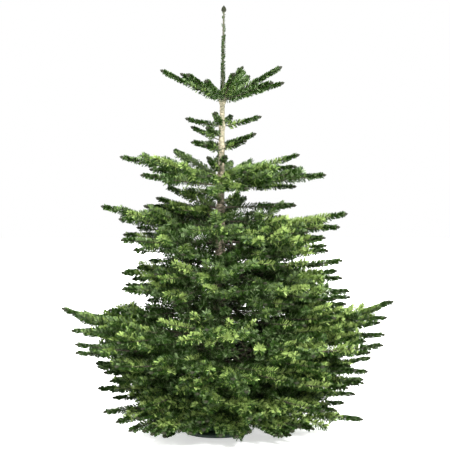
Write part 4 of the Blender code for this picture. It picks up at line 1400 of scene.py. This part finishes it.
# %% Model one screw
THREAD_PITCH, THREAD_DEPTH, THREAD_SIDES, RINGS_PER_TURN = 0.0025, 0.0007, 16, 5
KNOB_RADIUS, KNOB_START, KNOB_LENGTH = 0.0125, 0.064, 0.016
KNOB_RINGS, KNOB_SIDES, KNURLS, KNURL_DEPTH = 16, 80, 20, 0.02
KNOB_EDGE, KNOB_END, KNOB_SWELL = 0.75, 0.62, 0.36  # where it rounds off, its end's radius, and what it gains
ROD_IN_TRUNK, ROD_IN_KNOB = 0.001, 0.002


def along_x(radius_at, xs, sides):
    """Rings about X whose radius may depend on x and on the turn."""
    rings = []
    for x in xs:
        ring = [about_axis(radius_at(x, turn), turn) for turn in turns(sides)]
        rings.append([Vector((x, point.x, point.y)) for point in ring])
    return rings


def thread_radius(x, turn):
    return SCREW_RADIUS - THREAD_DEPTH * (0.5 + 0.5 * math.cos(math.tau * x / THREAD_PITCH - turn))


def knob_radius(x, turn):
    share = abs((x - KNOB_START) / KNOB_LENGTH * 2 - 1)
    rounding = math.sqrt(max(0.0, 1 - max(0.0, (share - KNOB_EDGE) / (1 - KNOB_EDGE)) ** 2))
    knurl = 1 + KNURL_DEPTH * math.cos(KNURLS * turn) * rounding
    return KNOB_RADIUS * (KNOB_END + KNOB_SWELL * rounding) * knurl


rod_start = trunk_radius(SCREW_HEIGHT) - ROD_IN_TRUNK
rod_rings = round((KNOB_START - rod_start) / THREAD_PITCH * RINGS_PER_TURN)
rod_xs = spaced(rod_start, KNOB_START + ROD_IN_KNOB, rod_rings)
knob_xs = [
    KNOB_START + KNOB_LENGTH * (0.5 - 0.5 * math.cos(angle)) for angle in spaced(0, math.pi, KNOB_RINGS)
]
screw_shape = bmesh.new()
screw_shape.from_mesh(ring_mesh("rod", along_x(thread_radius, rod_xs, THREAD_SIDES), steel))
screw_shape.from_mesh(ring_mesh("knob", along_x(knob_radius, knob_xs, KNOB_SIDES), steel))
bmesh.ops.recalc_face_normals(screw_shape, faces=screw_shape.faces)
screw_mesh = as_mesh(screw_shape, "screw_model")
screw_mesh.materials.append(steel)
screw_model = placed("screw_model", screw_mesh)
print(f"a screw has {len(screw_mesh.polygons)} faces")

# %% Set the screws about the sleeve
SCREW_CREASE = 50  # degrees


def round_tree():
    tree, given = new_tree("set_round", (
        ("Model", "Object", None), ("Count", "Int", 3), ("First Turn", "Float", 0.0),
        ("Height", "Float", 0.1), ("Material", "Material", None),
    ))
    points = add(tree, "GeometryNodePoints", {"Count": given["Count"]})
    step = math_node(tree, "DIVIDE", math.tau, given["Count"])
    index = add(tree, "GeometryNodeInputIndex")
    turn = math_node(tree, "MULTIPLY_ADD", index, step, given["First Turn"])
    upright = add(tree, "ShaderNodeCombineXYZ", {"Z": given["Height"]})
    lifted = add(tree, "GeometryNodeSetPosition", {"Geometry": points, "Offset": upright})
    angles = add(tree, "FunctionNodeEulerToRotation", {0: add(tree, "ShaderNodeCombineXYZ", {"Z": turn})})
    return painted(tree, stood_on(tree, lifted, given["Model"], angles), given["Material"])


holder = placed("screw_points", bpy.data.meshes.new("screw_points"))
mesh = run_tree(holder, round_tree(), {
    "Model": screw_model, "Count": SCREWS, "First Turn": math.radians(FIRST_SCREW), "Height": SCREW_HEIGHT,
    "Material": steel,
})
bpy.data.objects.remove(screw_model)
mesh.set_sharp_from_angle(angle=math.radians(SCREW_CREASE))
new_piece("stand_screws", mesh, replaced=[f"stand_screw_{k + 1}" for k in range(SCREWS)])

# %% [markdown]
# ## The view
# The camera stands level, a little under the middle of the tree and 4.5 m from its trunk, which is how a
# tree this tall is shown whole without leaning lines.

# %% Set the camera
CAMERA_PLACE = (0.0315, -4.5, 0.8694)
VIEW_HALF_WIDTH = 0.945  # at the trunk
camera_data = bpy.data.cameras.new("camera")
camera_data.sensor_fit = "HORIZONTAL"
camera_data.angle = 2 * math.atan(VIEW_HALF_WIDTH / -CAMERA_PLACE[1])
camera = placed("camera", camera_data)
camera.location = CAMERA_PLACE
camera.rotation_euler = (math.radians(90), 0, 0)
bpy.context.scene.camera = camera
print(f"the camera sees {math.degrees(camera_data.angle):.1f} degrees")

# %% [markdown]
# ## Floor and light
# The floor is plain and pale, wide enough that its edge is far away, and it glows a little, so that the
# tree's shadow on it stays pale. The light is a soft white studio: a large key light above and to the front
# right, a weaker one from the front left and one from behind, and a dim sky, which the camera sees as white.
# Standard view keeps the white floor white.

# %% Lay the floor
FLOOR_HALF = 60.0
floor_mesh = bpy.data.meshes.new("floor")
corners = [(x * FLOOR_HALF, y * FLOOR_HALF, 0) for x, y in ((-1, -1), (1, -1), (1, 1), (-1, 1))]
floor_mesh.from_pydata(corners, [], [(0, 1, 2, 3)])
floor = placed("floor", floor_mesh)
floor_white = new_material(
    "floor_white", (0.95, 0.95, 0.95), 0.9, Specular_IOR_Level=0.0, Emission_Strength=0.6
)
floor_mesh.materials.append(floor_white)
floor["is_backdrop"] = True
print("one floor")

# %% Light the tree
SKY_LIGHT, SKY_SHOWN = 0.34, 1.0
SUNS = (  # name, where it shines from, how soft in degrees, strength
    ("key", (1.5, -2.8, 3.3), 30, 12.2), ("fill", (-2.8, -2.2, 2.6), 60, 1.9),
    ("back", (-0.8, 2.6, 3.4), 60, 4.8),
)
world = bpy.data.worlds.new("studio")
bpy.context.scene.world = world
world.use_nodes = True
tree = world.node_tree
seen = add(tree, "ShaderNodeLightPath").outputs["Is Camera Ray"]
shown = math_node(tree, "MULTIPLY", seen, SKY_SHOWN - SKY_LIGHT)
strength = math_node(tree, "ADD", shown, SKY_LIGHT)
fill(tree, tree.nodes["Background"], {"Color": (1, 1, 1, 1), "Strength": strength})
for name, place, softness, strength in SUNS:
    data = bpy.data.lights.new(name, "SUN")
    data.energy, data.angle = strength, math.radians(softness)
    lamp = placed(name, data)
    lamp.location = place
    lamp.rotation_euler = Vector(place).to_track_quat("Z", "Y").to_euler()
bpy.context.scene.view_settings.view_transform = "Standard"
print(f"{len(SUNS)} soft lamps")

# %% [markdown]
# ## The sizes
# The dressed tree must stay inside the box of the solids; the last cell shows both boxes.

# %% Show the sizes
boxes = {"solid": solid_box, "visual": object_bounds()}
{key: [list(corner) for corner in box] for key, box in boxes.items()}
